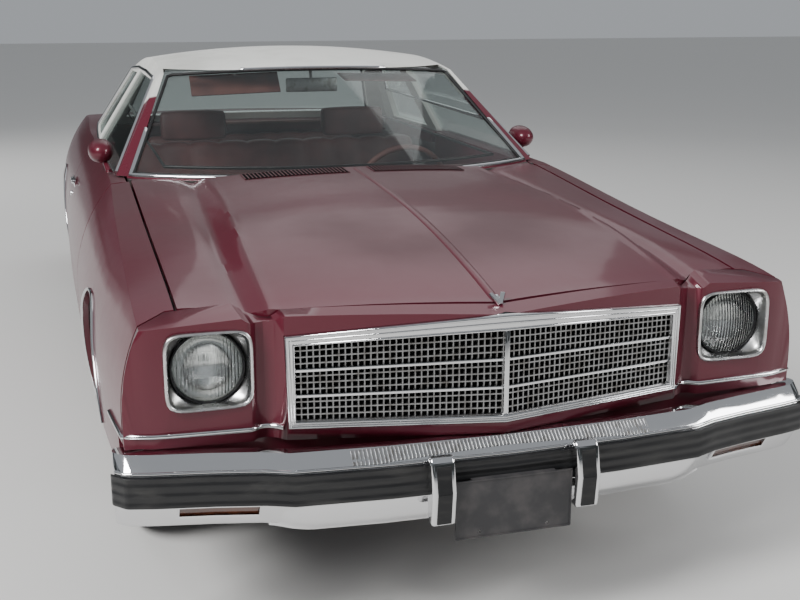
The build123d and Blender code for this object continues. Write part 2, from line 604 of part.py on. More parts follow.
FIREWALL_Y = -905.0
PILLAR_INNER_X = 738.0
cowl_strip = crescent(-834, -1058, -770, -1005, COWL_SIDE_X - 4, 905, BELT_Z)
firewall = block(-PILLAR_INNER_X, PILLAR_INNER_X, FIREWALL_Y, FIREWALL_Y + 14, 430, 906)
plenum = plan([(-700, -1010), (700, -1010), (700, -842), (-700, -842)], 880, 906)
pillar = block(PILLAR_INNER_X - 1, COWL_SIDE_X - 4, -893, -790, SILL_SEAM_Z, 906)
ear = block(759, COWL_SIDE_X - 4, HOOD_PIN_Y - 10, HOOD_PIN_Y + 10, 900, HOOD_PIN_Z + HINGE_PIN_R + 2)
ear = ear - rod((750, HOOD_PIN_Y, HOOD_PIN_Z), (780, HOOD_PIN_Y, HOOD_PIN_Z), HINGE_PIN_R + SEAT_GAP)
pillar = pillar + ear
cowl = cowl_strip + firewall + plenum + pillar + mirrored(pillar)
save("cowl", cowl)

# Engine bay: side aprons, wheelhouse liners and the radiator support
APRON_X, APRON_WALL = 470.0, 12.0
LINER_GAP, LINER_WALL = 5.0, 8.0


def liner(axle_y, x0, x1, low_z):
    """Half-round wheelhouse liner above low_z."""
    outer_r = ARCH_R + LINER_GAP + LINER_WALL
    ring = rod((x0, axle_y, ARCH_CENTRE_Z), (x1, axle_y, ARCH_CENTRE_Z), outer_r)
    ring = ring - rod((x0, axle_y, ARCH_CENTRE_Z), (x1, axle_y, ARCH_CENTRE_Z), outer_r - LINER_WALL)
    return ring - block(x0 - 1, x1 + 1, axle_y - 900, axle_y + 900, -200, low_z)


apron = side_view([
    (-2290, 400), (-2290, 780), (-1400, 800), (-1015, 830), (-1015, 430), (-1190, 430), (-1230, 520),
    (-1910, 520), (-1950, 400),
], APRON_X, APRON_X + APRON_WALL)
apron = apron + liner(FRONT_AXLE_Y, APRON_X, 880, 470)
SUPPORT_LOW_Z = 480.0 + SEAT_GAP
radiator_support = block(-745, 745, SUPPORT_FRONT_Y, SUPPORT_REAR_Y, SUPPORT_LOW_Z, 795)
radiator_support = radiator_support - block(-345, 345, -2400, -2200, 500, 760)
engine_bay = radiator_support + apron + mirrored(apron)
save("engine_bay", engine_bay)
radiator = block(-335, 335, SUPPORT_REAR_Y + SEAT_GAP, -2230, 425, 775)
save("radiator", radiator)

# Floor: toe board, cabin floor, seat pan, boot floor, tunnel and rear wheelhouses
FLOOR_WALL = 12.0
FLOOR_LINE = [
    (-890, 424), (-660, 252), (640, 252), (780, 300), (900, 330), (1000, 520), (1560, 520), (1640, 440),
    (2449, 440),
]
TUNNEL_HALF, TUNNEL_TOP = 127.0, 397.0
floor_under = [(y, z - FLOOR_WALL) for y, z in FLOOR_LINE]
floor = side_view(FLOOR_LINE + floor_under[::-1], -FLOOR_HALF, FLOOR_HALF)
tunnel_outline = [(-TUNNEL_HALF, 200), (-100, TUNNEL_TOP), (100, TUNNEL_TOP), (TUNNEL_HALF, 200)]
tunnel_out = front_view(tunnel_outline, -888, 930)
tunnel_in = front_view([
    (-TUNNEL_HALF + FLOOR_WALL, 200), (-90, TUNNEL_TOP - FLOOR_WALL), (90, TUNNEL_TOP - FLOOR_WALL),
    (TUNNEL_HALF - FLOOR_WALL, 200),
], -900, 980)
above_floor = side_view(floor_under[:6] + [(1000, 600), (-890, 600)], -200, 200)
floor = (floor + (tunnel_out & above_floor)) - (tunnel_in & block(-200, 200, -900, 940, 150, 600))
rear_house = liner(REAR_AXLE_Y, 560, 864, 400)
house_r = ARCH_R + LINER_GAP + 2
house_side = rod((560, REAR_AXLE_Y, ARCH_CENTRE_Z), (572, REAR_AXLE_Y, ARCH_CENTRE_Z), house_r)
house_side = house_side - block(500, 600, 700, 1900, -200, 515)
wheel_space = rod((572, REAR_AXLE_Y, ARCH_CENTRE_Z), (900, REAR_AXLE_Y, ARCH_CENTRE_Z), ARCH_R + LINER_GAP)
floor = floor - wheel_space - mirrored(wheel_space)
floor = floor + rear_house + house_side + mirrored(rear_house) + mirrored(house_side)
save("floor_pan", floor)

# Perimeter frame: rails drawn by their plan and side bands, tied by crossmembers
# Rail plan: y, inner x, outer x; rail side: y, bottom z, top z
RAIL_PLAN = [
    (-2516.8, 395, 455), (-1200, 395, 455), (-1000, 640, 700), (850, 640, 700), (1060, 460, 520),
    (2440, 460, 520),
]
RAIL_SIDE = [
    (-2516.8, 412, 480), (-2180, 412, 480), (-1990, 300, 380), (-1250, 300, 380), (-1000, 160, 235),
    (850, 160, 235), (1060, 400, 470), (1540, 400, 470), (1640, 380, 427.7), (2440, 380, 427.7),
]
rail_plan = plan([(x, y) for y, x, _ in RAIL_PLAN] + [(x, y) for y, _, x in reversed(RAIL_PLAN)], 100, 600)
rail_side = side_view(
    [(y, z) for y, z, _ in RAIL_SIDE] + [(y, z) for y, _, z in reversed(RAIL_SIDE)], 300, 800
)
rail = rail_plan & rail_side
frame = rail + mirrored(rail)
# Crossmembers: y from, y to, half length, z from, z to
CROSSMEMBERS = [(-1660, -1480, 400, 250, 325), (40, 110, 645, 150, 176), (2360, 2420, 465, 385, 425)]
for y0, y1, half, z0, z1 in CROSSMEMBERS:
    frame = frame + block(-half, half, y0, y1, z0, z1)
save("perimeter_frame", frame)

# Engine as one plain block, gearbox and propeller shaft, exhaust, tank
engine = block(-275, 275, -1880, -1190, 325.3, 800)
save("engine", engine)
gearbox = Solid.make_cone(100, 72, 700, Plane((0, -1189.7, 275), z_dir=(0, 1, 0)))
shaft = rod((0, -489.7, 275), (0, REAR_AXLE_Y - 95, 342), 38)
save("gearbox_propshaft", gearbox + shaft)
muffler_x = 360.0
pipe = rod((muffler_x, -1100, 203), (muffler_x, 300, 203), 24)
muffler = rod((muffler_x, 300, 188), (muffler_x, 820, 188), 51.7)
save("exhaust", pipe + muffler)
save("fuel_tank", block(-400, 400, 1660, 2300, 235, 427.7))

# Rear axle with spring posts under the rails, drums and hub flanges
rear_hub_x = REAR_TRACK / 2
axle = rod((-rear_hub_x + 25, REAR_AXLE_Y, TYRE_R), (rear_hub_x - 25, REAR_AXLE_Y, TYRE_R), 38)
axle = axle + rod((0, REAR_AXLE_Y - 90, TYRE_R), (0, REAR_AXLE_Y + 110, TYRE_R), 112)
for spring_x in (-490, 490):
    axle = axle + rod((spring_x, REAR_AXLE_Y, TYRE_R + 20), (spring_x, REAR_AXLE_Y, 400 - SEAT_GAP), 28)
HUB_R = 76.0
DRUM_R, DRUM_DEPTH = 135.0, 62.0
BRAKE_R = 110.0


def hub(x_face, outward, y):
    """Hub flange against the wheel disc, with the spigot that centres the wheel."""
    drum = rod((x_face - outward * (DRUM_DEPTH + 8), y, TYRE_R), (x_face - outward * 8, y, TYRE_R), DRUM_R)
    flange = rod((x_face - outward * 9, y, TYRE_R), (x_face - outward * SEAT_GAP, y, TYRE_R), HUB_R)
    spigot = rod((x_face - outward * 9, y, TYRE_R), (x_face + outward * 14, y, TYRE_R), HUB_BORE_R - 0.5)
    return drum + flange + spigot


axle = axle + hub(rear_hub_x, 1, REAR_AXLE_Y) + hub(-rear_hub_x, -1, REAR_AXLE_Y)
save("rear_axle", axle)

# Wheels: a plain tyre of revolution on a drop-centre rim with a dished disc
FLANGE = 8.0
tyre_half, rim_half = TYRE_WIDTH / 2, RIM_WIDTH / 2
bead_half = rim_half - FLANGE - SEAT_GAP
TYRE_HALF_PROFILE = [
    (bead_half, BEAD_R), (bead_half, 194), (tyre_half - 6, 225), (tyre_half, 265), (tyre_half - 12, 318),
    (82, 338), (50, TYRE_R - 0.5),
]
TYRE_PROFILE = [(-d, r) for d, r in TYRE_HALF_PROFILE] + [(0, TYRE_R)] + TYRE_HALF_PROFILE[::-1]
RIM_PROFILE = [
    (-rim_half, 190), (-rim_half, 170), (-62, 165), (-40, 148), (30, 148), (50, 160), (rim_half - 4, 170),
    (rim_half, 192), (rim_half - FLANGE, 192), (rim_half - FLANGE, BEAD_R - SEAT_GAP),
    (-rim_half + FLANGE, BEAD_R - SEAT_GAP), (-rim_half + FLANGE, 190),
]
DISC_PROFILE = [
    (0, HUB_BORE_R), (8, HUB_BORE_R), (8, 78), (34, 104), (34, 130), (12, 149), (2, 149), (20, 128),
    (20, 108), (0, 84),
]


def wheel(x, y, outward):
    tyre = turned(TYRE_PROFILE, y, TYRE_R, x, outward)
    rim = turned(RIM_PROFILE, y, TYRE_R, x, outward) + turned(DISC_PROFILE, y, TYRE_R, x, outward)
    cuts = []
    for i in range(5):
        turn = math.radians(90 + 72 * i)
        a = (x - 100, y + BOLT_CIRCLE_R * math.cos(turn), TYRE_R + BOLT_CIRCLE_R * math.sin(turn))
        cuts.append(rod(a, (x + 100, a[1], a[2]), BOLT_HOLE_R))
    return tyre, rim - cuts


for end, axle_y, track in (("front", FRONT_AXLE_Y, FRONT_TRACK), ("rear", REAR_AXLE_Y, REAR_TRACK)):
    tyre, rim = wheel(track / 2, axle_y, 1)
    save(f"tyre_{end}_left", tyre)
    save(f"rim_{end}_left", rim)
    save(f"tyre_{end}_right", mirrored(tyre))
    save(f"rim_{end}_right", mirrored(rim))

# Steering knuckles on their ball joints, and the control arms that carry them
front_hub_x = FRONT_TRACK / 2
kingpin_x = front_hub_x - KINGPIN_INSET
BOSS_LOW_Z, BOSS_HIGH_Z, BOSS_R = 226.0, 464.0, 26.0
knuckle = rod((kingpin_x, FRONT_AXLE_Y, BOSS_LOW_Z), (kingpin_x, FRONT_AXLE_Y, BOSS_HIGH_Z), BOSS_R)
disc = rod((front_hub_x - 34, FRONT_AXLE_Y, TYRE_R), (front_hub_x - 8, FRONT_AXLE_Y, TYRE_R), BRAKE_R)
flange = rod((front_hub_x - 9, FRONT_AXLE_Y, TYRE_R), (front_hub_x - SEAT_GAP, FRONT_AXLE_Y, TYRE_R), HUB_R)
spigot = rod((kingpin_x, FRONT_AXLE_Y, TYRE_R), (front_hub_x + 14, FRONT_AXLE_Y, TYRE_R), HUB_BORE_R - 0.5)
knuckle = knuckle + disc + flange + spigot
save("steering_knuckle_left", knuckle)
save("steering_knuckle_right", mirrored(knuckle))
ARM_THICK = 18.0
# Arm plan: x, half width
ARM_PLAN = [(kingpin_x, 26), (620, 34), (545, 60), (455.3, 105)]
UPPER_ARM_PLAN = [(kingpin_x, 24), (456, 80)]
arm_top, upper_arm_z = BOSS_LOW_Z - SEAT_GAP, BOSS_HIGH_Z + SEAT_GAP


def arm(half_widths, z0, z1):
    front = [(x, FRONT_AXLE_Y - h) for x, h in half_widths]
    rear = [(x, FRONT_AXLE_Y + h) for x, h in reversed(half_widths)]
    return plan(front + rear, z0, z1)


mount_front, mount_rear = FRONT_AXLE_Y - 80, FRONT_AXLE_Y + 80
lower_arm = arm(ARM_PLAN, arm_top - ARM_THICK, arm_top)
lower_arm = lower_arm + block(400, 456, mount_front, mount_rear, arm_top - ARM_THICK, 250 - SEAT_GAP)
upper_arm = arm(UPPER_ARM_PLAN, upper_arm_z, upper_arm_z + 14)
upper_arm = upper_arm + block(400, 457, mount_front, mount_rear, 380 + SEAT_GAP, upper_arm_z + 14)
save("front_suspension", lower_arm, upper_arm, mirrored(lower_arm), mirrored(upper_arm))

# Dashboard, steering column and wheel
DASH_HALF = 712.0
DASH_LINE = [(-841.7, 889), (-765, 902), (-640, 925), (-585, 905), (-592, 760), (-680, 640), (-841.7, 640)]
dash = side_view(DASH_LINE, -DASH_HALF, DASH_HALF)
STEER_X, STEER_Y, STEER_Z = 380.0, -400.0, 800.0
COLUMN_RISE, COLUMN_RUN = 0.337, 0.9415
column_dir = Vector(0, COLUMN_RUN, COLUMN_RISE)
wheel_centre = Vector(STEER_X, STEER_Y, STEER_Z)
column_start = wheel_centre - column_dir * 460
column_end = wheel_centre - column_dir * 45
column = rod(tuple(column_start), tuple(column_end), 32)
dash = dash - rod(tuple(column_start - column_dir * 40), tuple(column_end), 32 + SEAT_GAP)
save("dashboard", dash)
save("steering_column", column)
wheel_plane = Plane(wheel_centre, x_dir=(1, 0, 0), z_dir=column_dir)
ring = wheel_plane * Torus(188, 12)
spokes = wheel_plane * (Pos(0, 0, -8) * Box(366, 44, 14))
boss = wheel_plane * (Pos(0, 0, -22) * Cylinder(38, 45))
save("steering_wheel", ring + spokes + boss)

# Benches: each a cushion and a back, with head rests in front; the shelf behind
SEAT_HALF = 672.0
cushion = side_view([(-230, 400), (-240, 500), (-180, 548), (300, 520), (330, 400)], -SEAT_HALF, SEAT_HALF)
BACK_LINE = [(232, 524.3), (300, 520.3), (330, 520.3), (462, 900), (430, 930), (370, 925)]
back = side_view(BACK_LINE, -SEAT_HALF, SEAT_HALF)
legs = [block(s - 40, s + 40, -160, 280, 252.3, 399.7) for s in (-560, 560)]
rest = side_view([(385, 926.6), (428, 930.2), (455, 960), (470, 1040), (450, 1070), (405, 1066)], 230, 530)
save("front_bench", cushion, back, rest, mirrored(rest))
save("seat_frames", *legs)
REAR_CUSHION_LINE = [
    (640, 400), (632, 500), (690, 540), (940, 505), (936.5, 400), (899.8, 330.4), (860, 320.4),
]
rear_cushion = side_view(REAR_CUSHION_LINE, -540, 540)
rear_cushion = rear_cushion - block(-TUNNEL_HALF - 8, TUNNEL_HALF + 8, 600, 945, 300, TUNNEL_TOP + SEAT_GAP)
rear_back = side_view([(938, 505.7), (1000, 520.3), (1060, 520.3), (1102, 885), (1030, 885)], -540, 540)
save("rear_bench", rear_cushion, rear_back)
save("package_shelf", block(-700, 700, 1035, 1109.7, 935, 947.7))
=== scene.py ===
import json
import math

import bmesh
import bpy
from mathutils import Matrix, Vector
from mathutils.bvhtree import BVHTree


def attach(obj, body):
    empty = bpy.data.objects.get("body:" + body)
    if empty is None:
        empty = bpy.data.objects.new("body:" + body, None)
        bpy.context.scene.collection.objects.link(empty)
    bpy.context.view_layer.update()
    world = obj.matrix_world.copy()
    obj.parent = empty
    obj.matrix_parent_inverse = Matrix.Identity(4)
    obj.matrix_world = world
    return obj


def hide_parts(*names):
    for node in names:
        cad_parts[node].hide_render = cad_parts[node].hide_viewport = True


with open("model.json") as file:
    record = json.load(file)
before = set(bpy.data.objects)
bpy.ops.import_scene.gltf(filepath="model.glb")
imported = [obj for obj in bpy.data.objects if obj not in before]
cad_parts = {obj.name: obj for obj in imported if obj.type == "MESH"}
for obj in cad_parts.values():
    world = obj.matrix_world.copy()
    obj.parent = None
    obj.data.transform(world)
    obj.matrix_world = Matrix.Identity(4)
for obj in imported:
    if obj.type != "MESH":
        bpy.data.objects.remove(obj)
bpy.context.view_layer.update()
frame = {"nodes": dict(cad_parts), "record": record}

# View: from ahead of the car's right front corner, a little above the roof, down along the hood, through a
# slightly long lens.
CAMERA_PLACE = (-1.0285, -5.0240, 1.5674)
AHEAD = Vector((0.28086714, 0.92618481, -0.25158565))
RIGHTWARD = Vector((0.95704301, -0.28994416, 0.00103367))
UPWARD = Vector((0.07198842, 0.24106861, 0.96783449))
camera = bpy.data.objects.new("camera", bpy.data.cameras.new("camera"))
bpy.context.scene.collection.objects.link(camera)
bpy.context.scene.camera = camera
camera_turn = Matrix((RIGHTWARD, UPWARD, -AHEAD)).transposed().to_4x4()
camera.matrix_world = Matrix.Translation(CAMERA_PLACE) @ camera_turn
camera.data.lens = 52.056
camera.data.sensor_width = 36.0


# Painted steel panels: fenders, doors, quarters, sills, boot lid and tail. Pressed sheet under burgundy
# metallic enamel that the sun has dulled on top, where a painted sky sheen also lightens and greys the
# colour. Hard edges are rounded by a few millimetres.
class Signal:
    """A shader socket that adds Math nodes where it is used in a sum or a product."""

    def __init__(self, finish, socket):
        self.finish = finish
        self.socket = socket

    def math(self, operation, a, b):
        return self.finish.add("Math", {"operation": operation}, {0: a, 1: b})

    def __add__(self, other):
        return self.math("ADD", self, other)

    def __mul__(self, other):
        return self.math("MULTIPLY", self, other)

    def __sub__(self, other):
        return self.math("SUBTRACT", self, other)

    def __rsub__(self, other):
        return self.math("SUBTRACT", other, self)

    def __gt__(self, other):
        return self.math("GREATER_THAN", self, other)

    def __lt__(self, other):
        return self.math("LESS_THAN", self, other)

    def __abs__(self):
        return self.math("ABSOLUTE", self, 0.0)

    __radd__ = __add__
    __rmul__ = __mul__

    def wave(self):
        return self.math("SINE", self, 0.0)

    def between(self, low, high):
        """0 below low, 1 above high and smooth between."""
        limits = {0: self, 1: low, 2: high, 3: 0.0, 4: 1.0}
        return self.finish.add("MapRange", {"interpolation_type": "SMOOTHSTEP"}, limits)


class Finish:
    """A procedural material built round one Principled shader."""

    def __init__(self, name, **sockets):
        self.material = bpy.data.materials.new(name)
        self.material.use_nodes = True
        self.tree = self.material.node_tree
        self.shader = self.tree.nodes["Principled BSDF"]
        for socket, value in sockets.items():
            self.shader.inputs[socket.replace("_", " ")].default_value = value

    def add(self, kind, settings, inputs, output=0):
        """One node: its type, settings, the values or signals of its inputs, and the output wanted."""
        made = self.tree.nodes.new("ShaderNode" + kind)
        for key, value in settings.items():
            setattr(made, key, value)
        for key, value in inputs.items():
            if isinstance(value, Signal):
                self.tree.links.new(value.socket, made.inputs[key])
            else:
                made.inputs[key].default_value = value
        return Signal(self, made.outputs[output])

    def place(self):
        return self.add("TexCoord", {}, {}, "Object")

    def axes(self):
        parts = self.add("SeparateXYZ", {}, {0: self.place()})
        return [Signal(self, output) for output in parts.socket.node.outputs]

    def noise(self, scale, detail=3.0, stretch=(1.0, 1.0, 1.0)):
        where = self.add("Mapping", {}, {"Vector": self.place(), "Scale": stretch})
        return self.add("TexNoise", {}, {"Vector": where, "Scale": scale, "Detail": detail})

    def cells(self, scale, feature="F1"):
        return self.add("TexVoronoi", {"feature": feature}, {"Vector": self.place(), "Scale": scale})

    def mixed(self, factor, a, b):
        """Colour a where factor is 0 and b where it is 1."""
        pair = {0: factor}
        for index, colour in ((6, a), (7, b)):
            pair[index] = colour if isinstance(colour, Signal) else (*colour, 1.0)
        return self.add("Mix", {"data_type": "RGBA", "clamp_factor": True}, pair, 2)

    def feed(self, socket, signal):
        self.tree.links.new(signal.socket, self.shader.inputs[socket])

    def weather(self, patch, span, clean, dirty, rough, spread):
        """Colour goes from clean to dirty over patch's span, and roughness rises from rough by spread."""
        self.feed("Base Color", self.mixed(patch.between(*span), clean, dirty))
        self.feed("Roughness", rough + patch * spread)

    def bump(self, height, strength, distance):
        normal = self.add("Bump", {}, {"Strength": strength, "Distance": distance, "Height": height})
        self.feed("Normal", normal)


def enamel(name, deep, faded_with_sheen):
    """Metallic enamel: sun-faded with a painted sky sheen on faces turned up behind the nose, dusty low down
    and chipped at the nose.
    """
    made = Finish(name, Metallic=0.22, Coat_Roughness=0.10, Specular_IOR_Level=0.24)
    y, z = made.axes()[1:]
    facing = made.add("SeparateXYZ", {}, {0: made.add("NewGeometry", {}, {}, "Normal")}, 2)
    cloud = made.noise(1.7, 6.0)
    speck = made.noise(26.0, 4.0)
    # Faces turned up behind the nose: their lighter, greyer colour is partly sun fade and partly a painted
    # sky sheen; the duller coat is the fade alone
    faded_sheen_faces = facing.between(0.80, 0.97) * z.between(0.78, 0.92) * (y + 2.42).between(0.0, 0.35)
    fade_and_sky_sheen = faded_sheen_faces * (0.45 + cloud.between(0.34, 0.66) * 0.55)
    colour = made.mixed(fade_and_sky_sheen, deep, faded_with_sheen)
    road = (1.0 - z.between(0.20, 0.46)) * (0.12 + speck.between(0.4, 0.7) * 0.35)
    colour = made.mixed(road, colour, (0.10, 0.075, 0.065))
    behind_nose = (y + 2.25).between(0.0, 0.25)
    chips = (made.cells(95.0) < 0.09) * made.noise(9.0).between(0.56, 0.66) * (1.0 - behind_nose)
    made.feed("Base Color", made.mixed(chips, colour, (0.10, 0.045, 0.03)))
    made.feed("Roughness", 0.36 + fade_and_sky_sheen * 0.16 + speck * 0.05 + road * 0.3)
    made.feed("Coat Weight", 0.60 - fade_and_sky_sheen * 0.48 - road * 0.4)
    made.bump(cloud, 0.04, 0.002)
    return made


# The faded colour is partly sun fade and partly a painted sky sheen
DEEP_BURGUNDY = (0.100, 0.009, 0.021)
FADED_SHEEN_BURGUNDY = (0.086, 0.036, 0.042)
paint = enamel("burgundy_enamel", DEEP_BURGUNDY, FADED_SHEEN_BURGUNDY)
body_of = {node: body for body, nodes in frame["record"]["behaviour"]["bodies"].items() for node in nodes}
slot_of = {row["node"]: row["material_slot"] for row in frame["record"]["subparts"]}


def finished(name, work, body, finish, smooth=32.0, replaces=(), flat_faces=False):
    """Makes a piece of one finish that rides on a body. flat_faces keeps its large faces flat."""
    mesh = bpy.data.meshes.new(name)
    work.to_mesh(mesh)
    work.free()
    piece = bpy.data.objects.new(name, mesh)
    bpy.context.scene.collection.objects.link(piece)
    mesh.materials.append(finish.material)
    mesh.shade_smooth()
    mesh.set_sharp_from_angle(angle=math.radians(smooth))
    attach(piece, body)
    if replaces:
        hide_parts(*replaces)
    if flat_faces:
        weigh = piece.modifiers.new("weigh", "WEIGHTED_NORMAL")
        weigh.keep_sharp = True
    return piece


def merged(node):
    """The plain solid of a piece, with its loose triangles joined up and its flat faces made whole."""
    work = bmesh.new()
    work.from_mesh(frame["nodes"][node].data)
    bmesh.ops.remove_doubles(work, verts=work.verts, dist=2e-5)
    bmesh.ops.dissolve_limit(work, angle_limit=math.radians(0.6), verts=work.verts, edges=work.edges)
    return work


def hard_edges(work, angle):
    """Edges where two faces meet at more than angle degrees."""
    least = math.radians(angle)
    return [e for e in work.edges if len(e.link_faces) == 2 and e.calc_face_angle(0.0) > least]


def soften(work, edges, radius, segments=2, clamp=False):
    bmesh.ops.bevel(
        work, geom=edges, offset=radius, offset_type="OFFSET", segments=segments, profile=0.5,
        affect="EDGES", material=-1, clamp_overlap=clamp,
    )


def cut_large_faces(work):
    bmesh.ops.triangulate(work, faces=[f for f in work.faces if len(f.verts) > 4])


BAR_END_X, STEEP, ASKEW = 0.84, 0.3, 0.15


def rounded(node, finish, radius=0.0025, angle=35.0, segments=2, ends=0.0):
    """The plain solid with its hard edges rounded, and its upright edges by the car's sides by ends."""
    work = merged(node)
    if ends:
        upright = []
        for edge in work.edges:
            run = edge.verts[1].co - edge.verts[0].co
            outside = min(abs(v.co.x) for v in edge.verts) > BAR_END_X
            if outside and abs(run.z) > STEEP * run.length and abs(run.x) < ASKEW * run.length:
                upright.append(edge)
        soften(work, upright, ends, 5, clamp=True)
    soften(work, hard_edges(work, angle), radius, segments, clamp=True)
    cut_large_faces(work)
    finished(f"{node}_look", work, body_of[node], finish, replaces=[node], flat_faces=True)


PANELS = [
    "boot_lid", "door_left", "door_right", "front_fenders", "quarter_panels", "rocker_panels", "tail_panel",
]
for panel in PANELS:
    rounded(panel, paint)


# Bright metal and rubber for bumpers, bezels, surround and mouldings. Chrome plate on steel or polished
# strip, with light pitting and road film, over black moulded rubber.
chrome = Finish("chrome_plate", Metallic=1.0)
film = chrome.noise(7.0, 5.0)
pitted = (chrome.cells(140.0) < 0.05) * film.between(0.5, 0.6)
chrome.feed("Base Color", chrome.mixed(pitted, (0.74, 0.74, 0.75), (0.30, 0.24, 0.18)))
chrome.feed("Roughness", 0.05 + film.between(0.42, 0.75) * 0.07)
chrome.bump(chrome.noise(2.5, 1.0), 0.03, 0.003)

satin = Finish("satin_bright", Metallic=1.0)
satin.weather(satin.noise(38.0, 5.0), (0.42, 0.72), (0.36, 0.36, 0.36), (0.20, 0.19, 0.18), 0.30, 0.22)

brushed = Finish("brushed_bright", Metallic=1.0)
brushed.weather(brushed.noise(26.0, 4.0), (0.45, 0.75), (0.66, 0.66, 0.66), (0.46, 0.45, 0.43), 0.20, 0.16)

black = Finish("black_rubber", Specular_IOR_Level=0.35)
worn = black.noise(60.0, 5.0, (0.2, 1.0, 1.0))
black.weather(worn, (0.45, 0.8), (0.012, 0.012, 0.013), (0.028, 0.027, 0.026), 0.36, 0.2)
black.bump(worn, 0.05, 0.0008)

# Near-black painted shade for the depths of slots and openings, with a faint random mottle
shade_black = Finish("painted_shade_black", Specular_IOR_Level=0.05)
shade_black_mottle = shade_black.noise(40.0, 3.0)
shade_black.feed("Base Color", shade_black.mixed(shade_black_mottle, (0.002, 0.002, 0.002), (0.008, 0.007, 0.007)))
shade_black.feed("Roughness", 0.85 + shade_black_mottle * 0.1)

DOWN = (0, 0, -1)
REARWARD = (0, 1, 0)
FORWARD = (0, -1, 0)
# Places well outside the car, from which lines are thrown at it: y, y, x and z
FROM_AHEAD, FROM_BEHIND, FROM_BESIDE, FROM_ABOVE = -3.0, 3.0, 1.4, 1.4
trees = {}


def touch(nodes, start, direction):
    """Point and normal where a line from start first meets one of the plain solids."""
    best = None
    for node in nodes:
        if node not in trees:
            work = bmesh.new()
            work.from_mesh(frame["nodes"][node].data)
            trees[node] = BVHTree.FromBMesh(work)
            work.free()
        hit, normal, _, distance = trees[node].ray_cast(Vector(start), Vector(direction))
        if hit is not None and (best is None or distance < best[2]):
            best = (hit, normal, distance)
    return best


def front_of(node, x, z):
    return touch([node], (x, FROM_AHEAD, z), REARWARD)[0]


def along(points, count):
    """count points evenly spaced on the line through points."""
    points = [Vector(p) for p in points]
    lengths = [(b - a).length for a, b in zip(points, points[1:])]
    total = sum(lengths)
    spaced = []
    for i in range(count):
        left = total * i / (count - 1)
        for a, b, length in zip(points, points[1:], lengths):
            if left <= length + 1e-9:
                spaced.append(a.lerp(b, min(1.0, left / length)))
                break
            left -= length
    return spaced


def outward(work):
    bmesh.ops.recalc_face_normals(work, faces=work.faces)


def moulding(name, points, radius, body, finish=chrome, slot="chrome", closed=False):
    """Half-round strip swept along points, which lie on the surface that carries it."""
    curve = bpy.data.curves.new(name, "CURVE")
    curve.dimensions = "3D"
    spline = curve.splines.new("POLY")
    spline.points.add(len(points) - 1)
    for target, point in zip(spline.points, points):
        target.co = (*point, 1.0)
    spline.use_cyclic_u = closed
    curve.bevel_depth = radius
    curve.bevel_resolution = 3
    curve.use_fill_caps = True
    holder = bpy.data.objects.new(name, curve)
    bpy.context.scene.collection.objects.link(holder)
    bpy.context.view_layer.update()
    made = bpy.data.meshes.new_from_object(holder.evaluated_get(bpy.context.evaluated_depsgraph_get()))
    bpy.data.objects.remove(holder)
    work = bmesh.new()
    work.from_mesh(made)
    bpy.data.meshes.remove(made)
    outward(work)
    finished(name, work, body, finish, smooth=50.0)


def strip(name, nodes, guide, toward, radius, body, count=40, sink=0.35, **more):
    """Moulding whose guide is thrown along toward on to the panels that carry it."""
    lift = Vector(toward).normalized() * radius * (1.0 - 2 * sink)
    hits = [touch(nodes, point, toward) for point in along(guide, count)]
    moulding(name, [hit[0] - lift for hit in hits if hit], radius, body, **more)


# Nose cap: one moulding with full, rounded lamp pods and a soft edge over the grille. The long edges between
# its front and its top get a wide radius.
nose = merged("nose_panel")
POD_RADIUS, SHOULDER_Z = 0.022, 0.78
soft_edges = []
for edge in hard_edges(nose, 18):
    front, top = sorted((face.normal for face in edge.link_faces), key=lambda normal: normal.y)
    if front.y < -0.75 and top.z > 0.45 and edge.verts[0].co.z > SHOULDER_Z:
        soft_edges.append(edge)
soften(nose, soft_edges, POD_RADIUS, 6, clamp=True)
cut_large_faces(nose)
finished("nose_look", nose, "body", paint, smooth=40.0, replaces=["nose_panel"], flat_faces=True)

# Hood: one pressing with a raised middle, a crisp ridge and a valley each side, and edges level with the
# fenders. It turns on a short pin at each rear corner.
HOOD_COLUMNS, HOOD_ROWS, HOOD_SHEET = 124, 64, 0.022
HOOD_HALF, REAR_HALF = 0.7615, 0.754
RIDGE_LIFT, RIDGE_WIDTH = 0.0035, 0.010
VALLEY_SINK, VALLEY_WIDTH = 0.007, 0.028
# Front edge from the middle out, x and y; ridge and valley lines from the front back, y and each one's x
FRONT_EDGE = [(0.0, -2.459), (0.555, -2.366), (0.624, -2.300), (0.762, -2.293)]
FOLD_LINES = [(-2.500, 0.548, 0.598), (-1.950, 0.548, 0.600), (-1.500, 0.522, 0.582), (-0.830, 0.496, 0.550)]
REAR_MIDDLE_Y, REAR_CORNER_Y = -1.066, -0.854
HOOD_RIM_X, FENDER_RIM_X = 0.7525, 0.779
RIM_BLEND_X, RIM_BLEND_WIDTH, RIM_PROUD = 0.62, 0.14, 0.001
PIN_X, PIN_Y, PIN_Z, PIN_RADIUS, PIN_LENGTH = 0.751, -0.872, 0.9446, 0.005, 0.032


def between_rows(rows, value):
    """Straight-line look-up: the rows' other columns where their first column reaches value."""
    for low, high in zip(rows, rows[1:]):
        if value <= high[0]:
            break
    share = held((value - low[0]) / (high[0] - low[0]))
    return [a + (b - a) * share for a, b in zip(low[1:], high[1:])]


def held(value, low=0.0, high=1.0):
    return min(high, max(low, value))


def bell(distance, width):
    return math.exp(-((distance / width) ** 2))


def height(node, x, y):
    return touch([node], (x, y, FROM_ABOVE), DOWN)[0].z


def rear_edge_y(x):
    return REAR_MIDDLE_Y + (REAR_CORNER_Y - REAR_MIDDLE_Y) * (x / REAR_HALF) ** 2


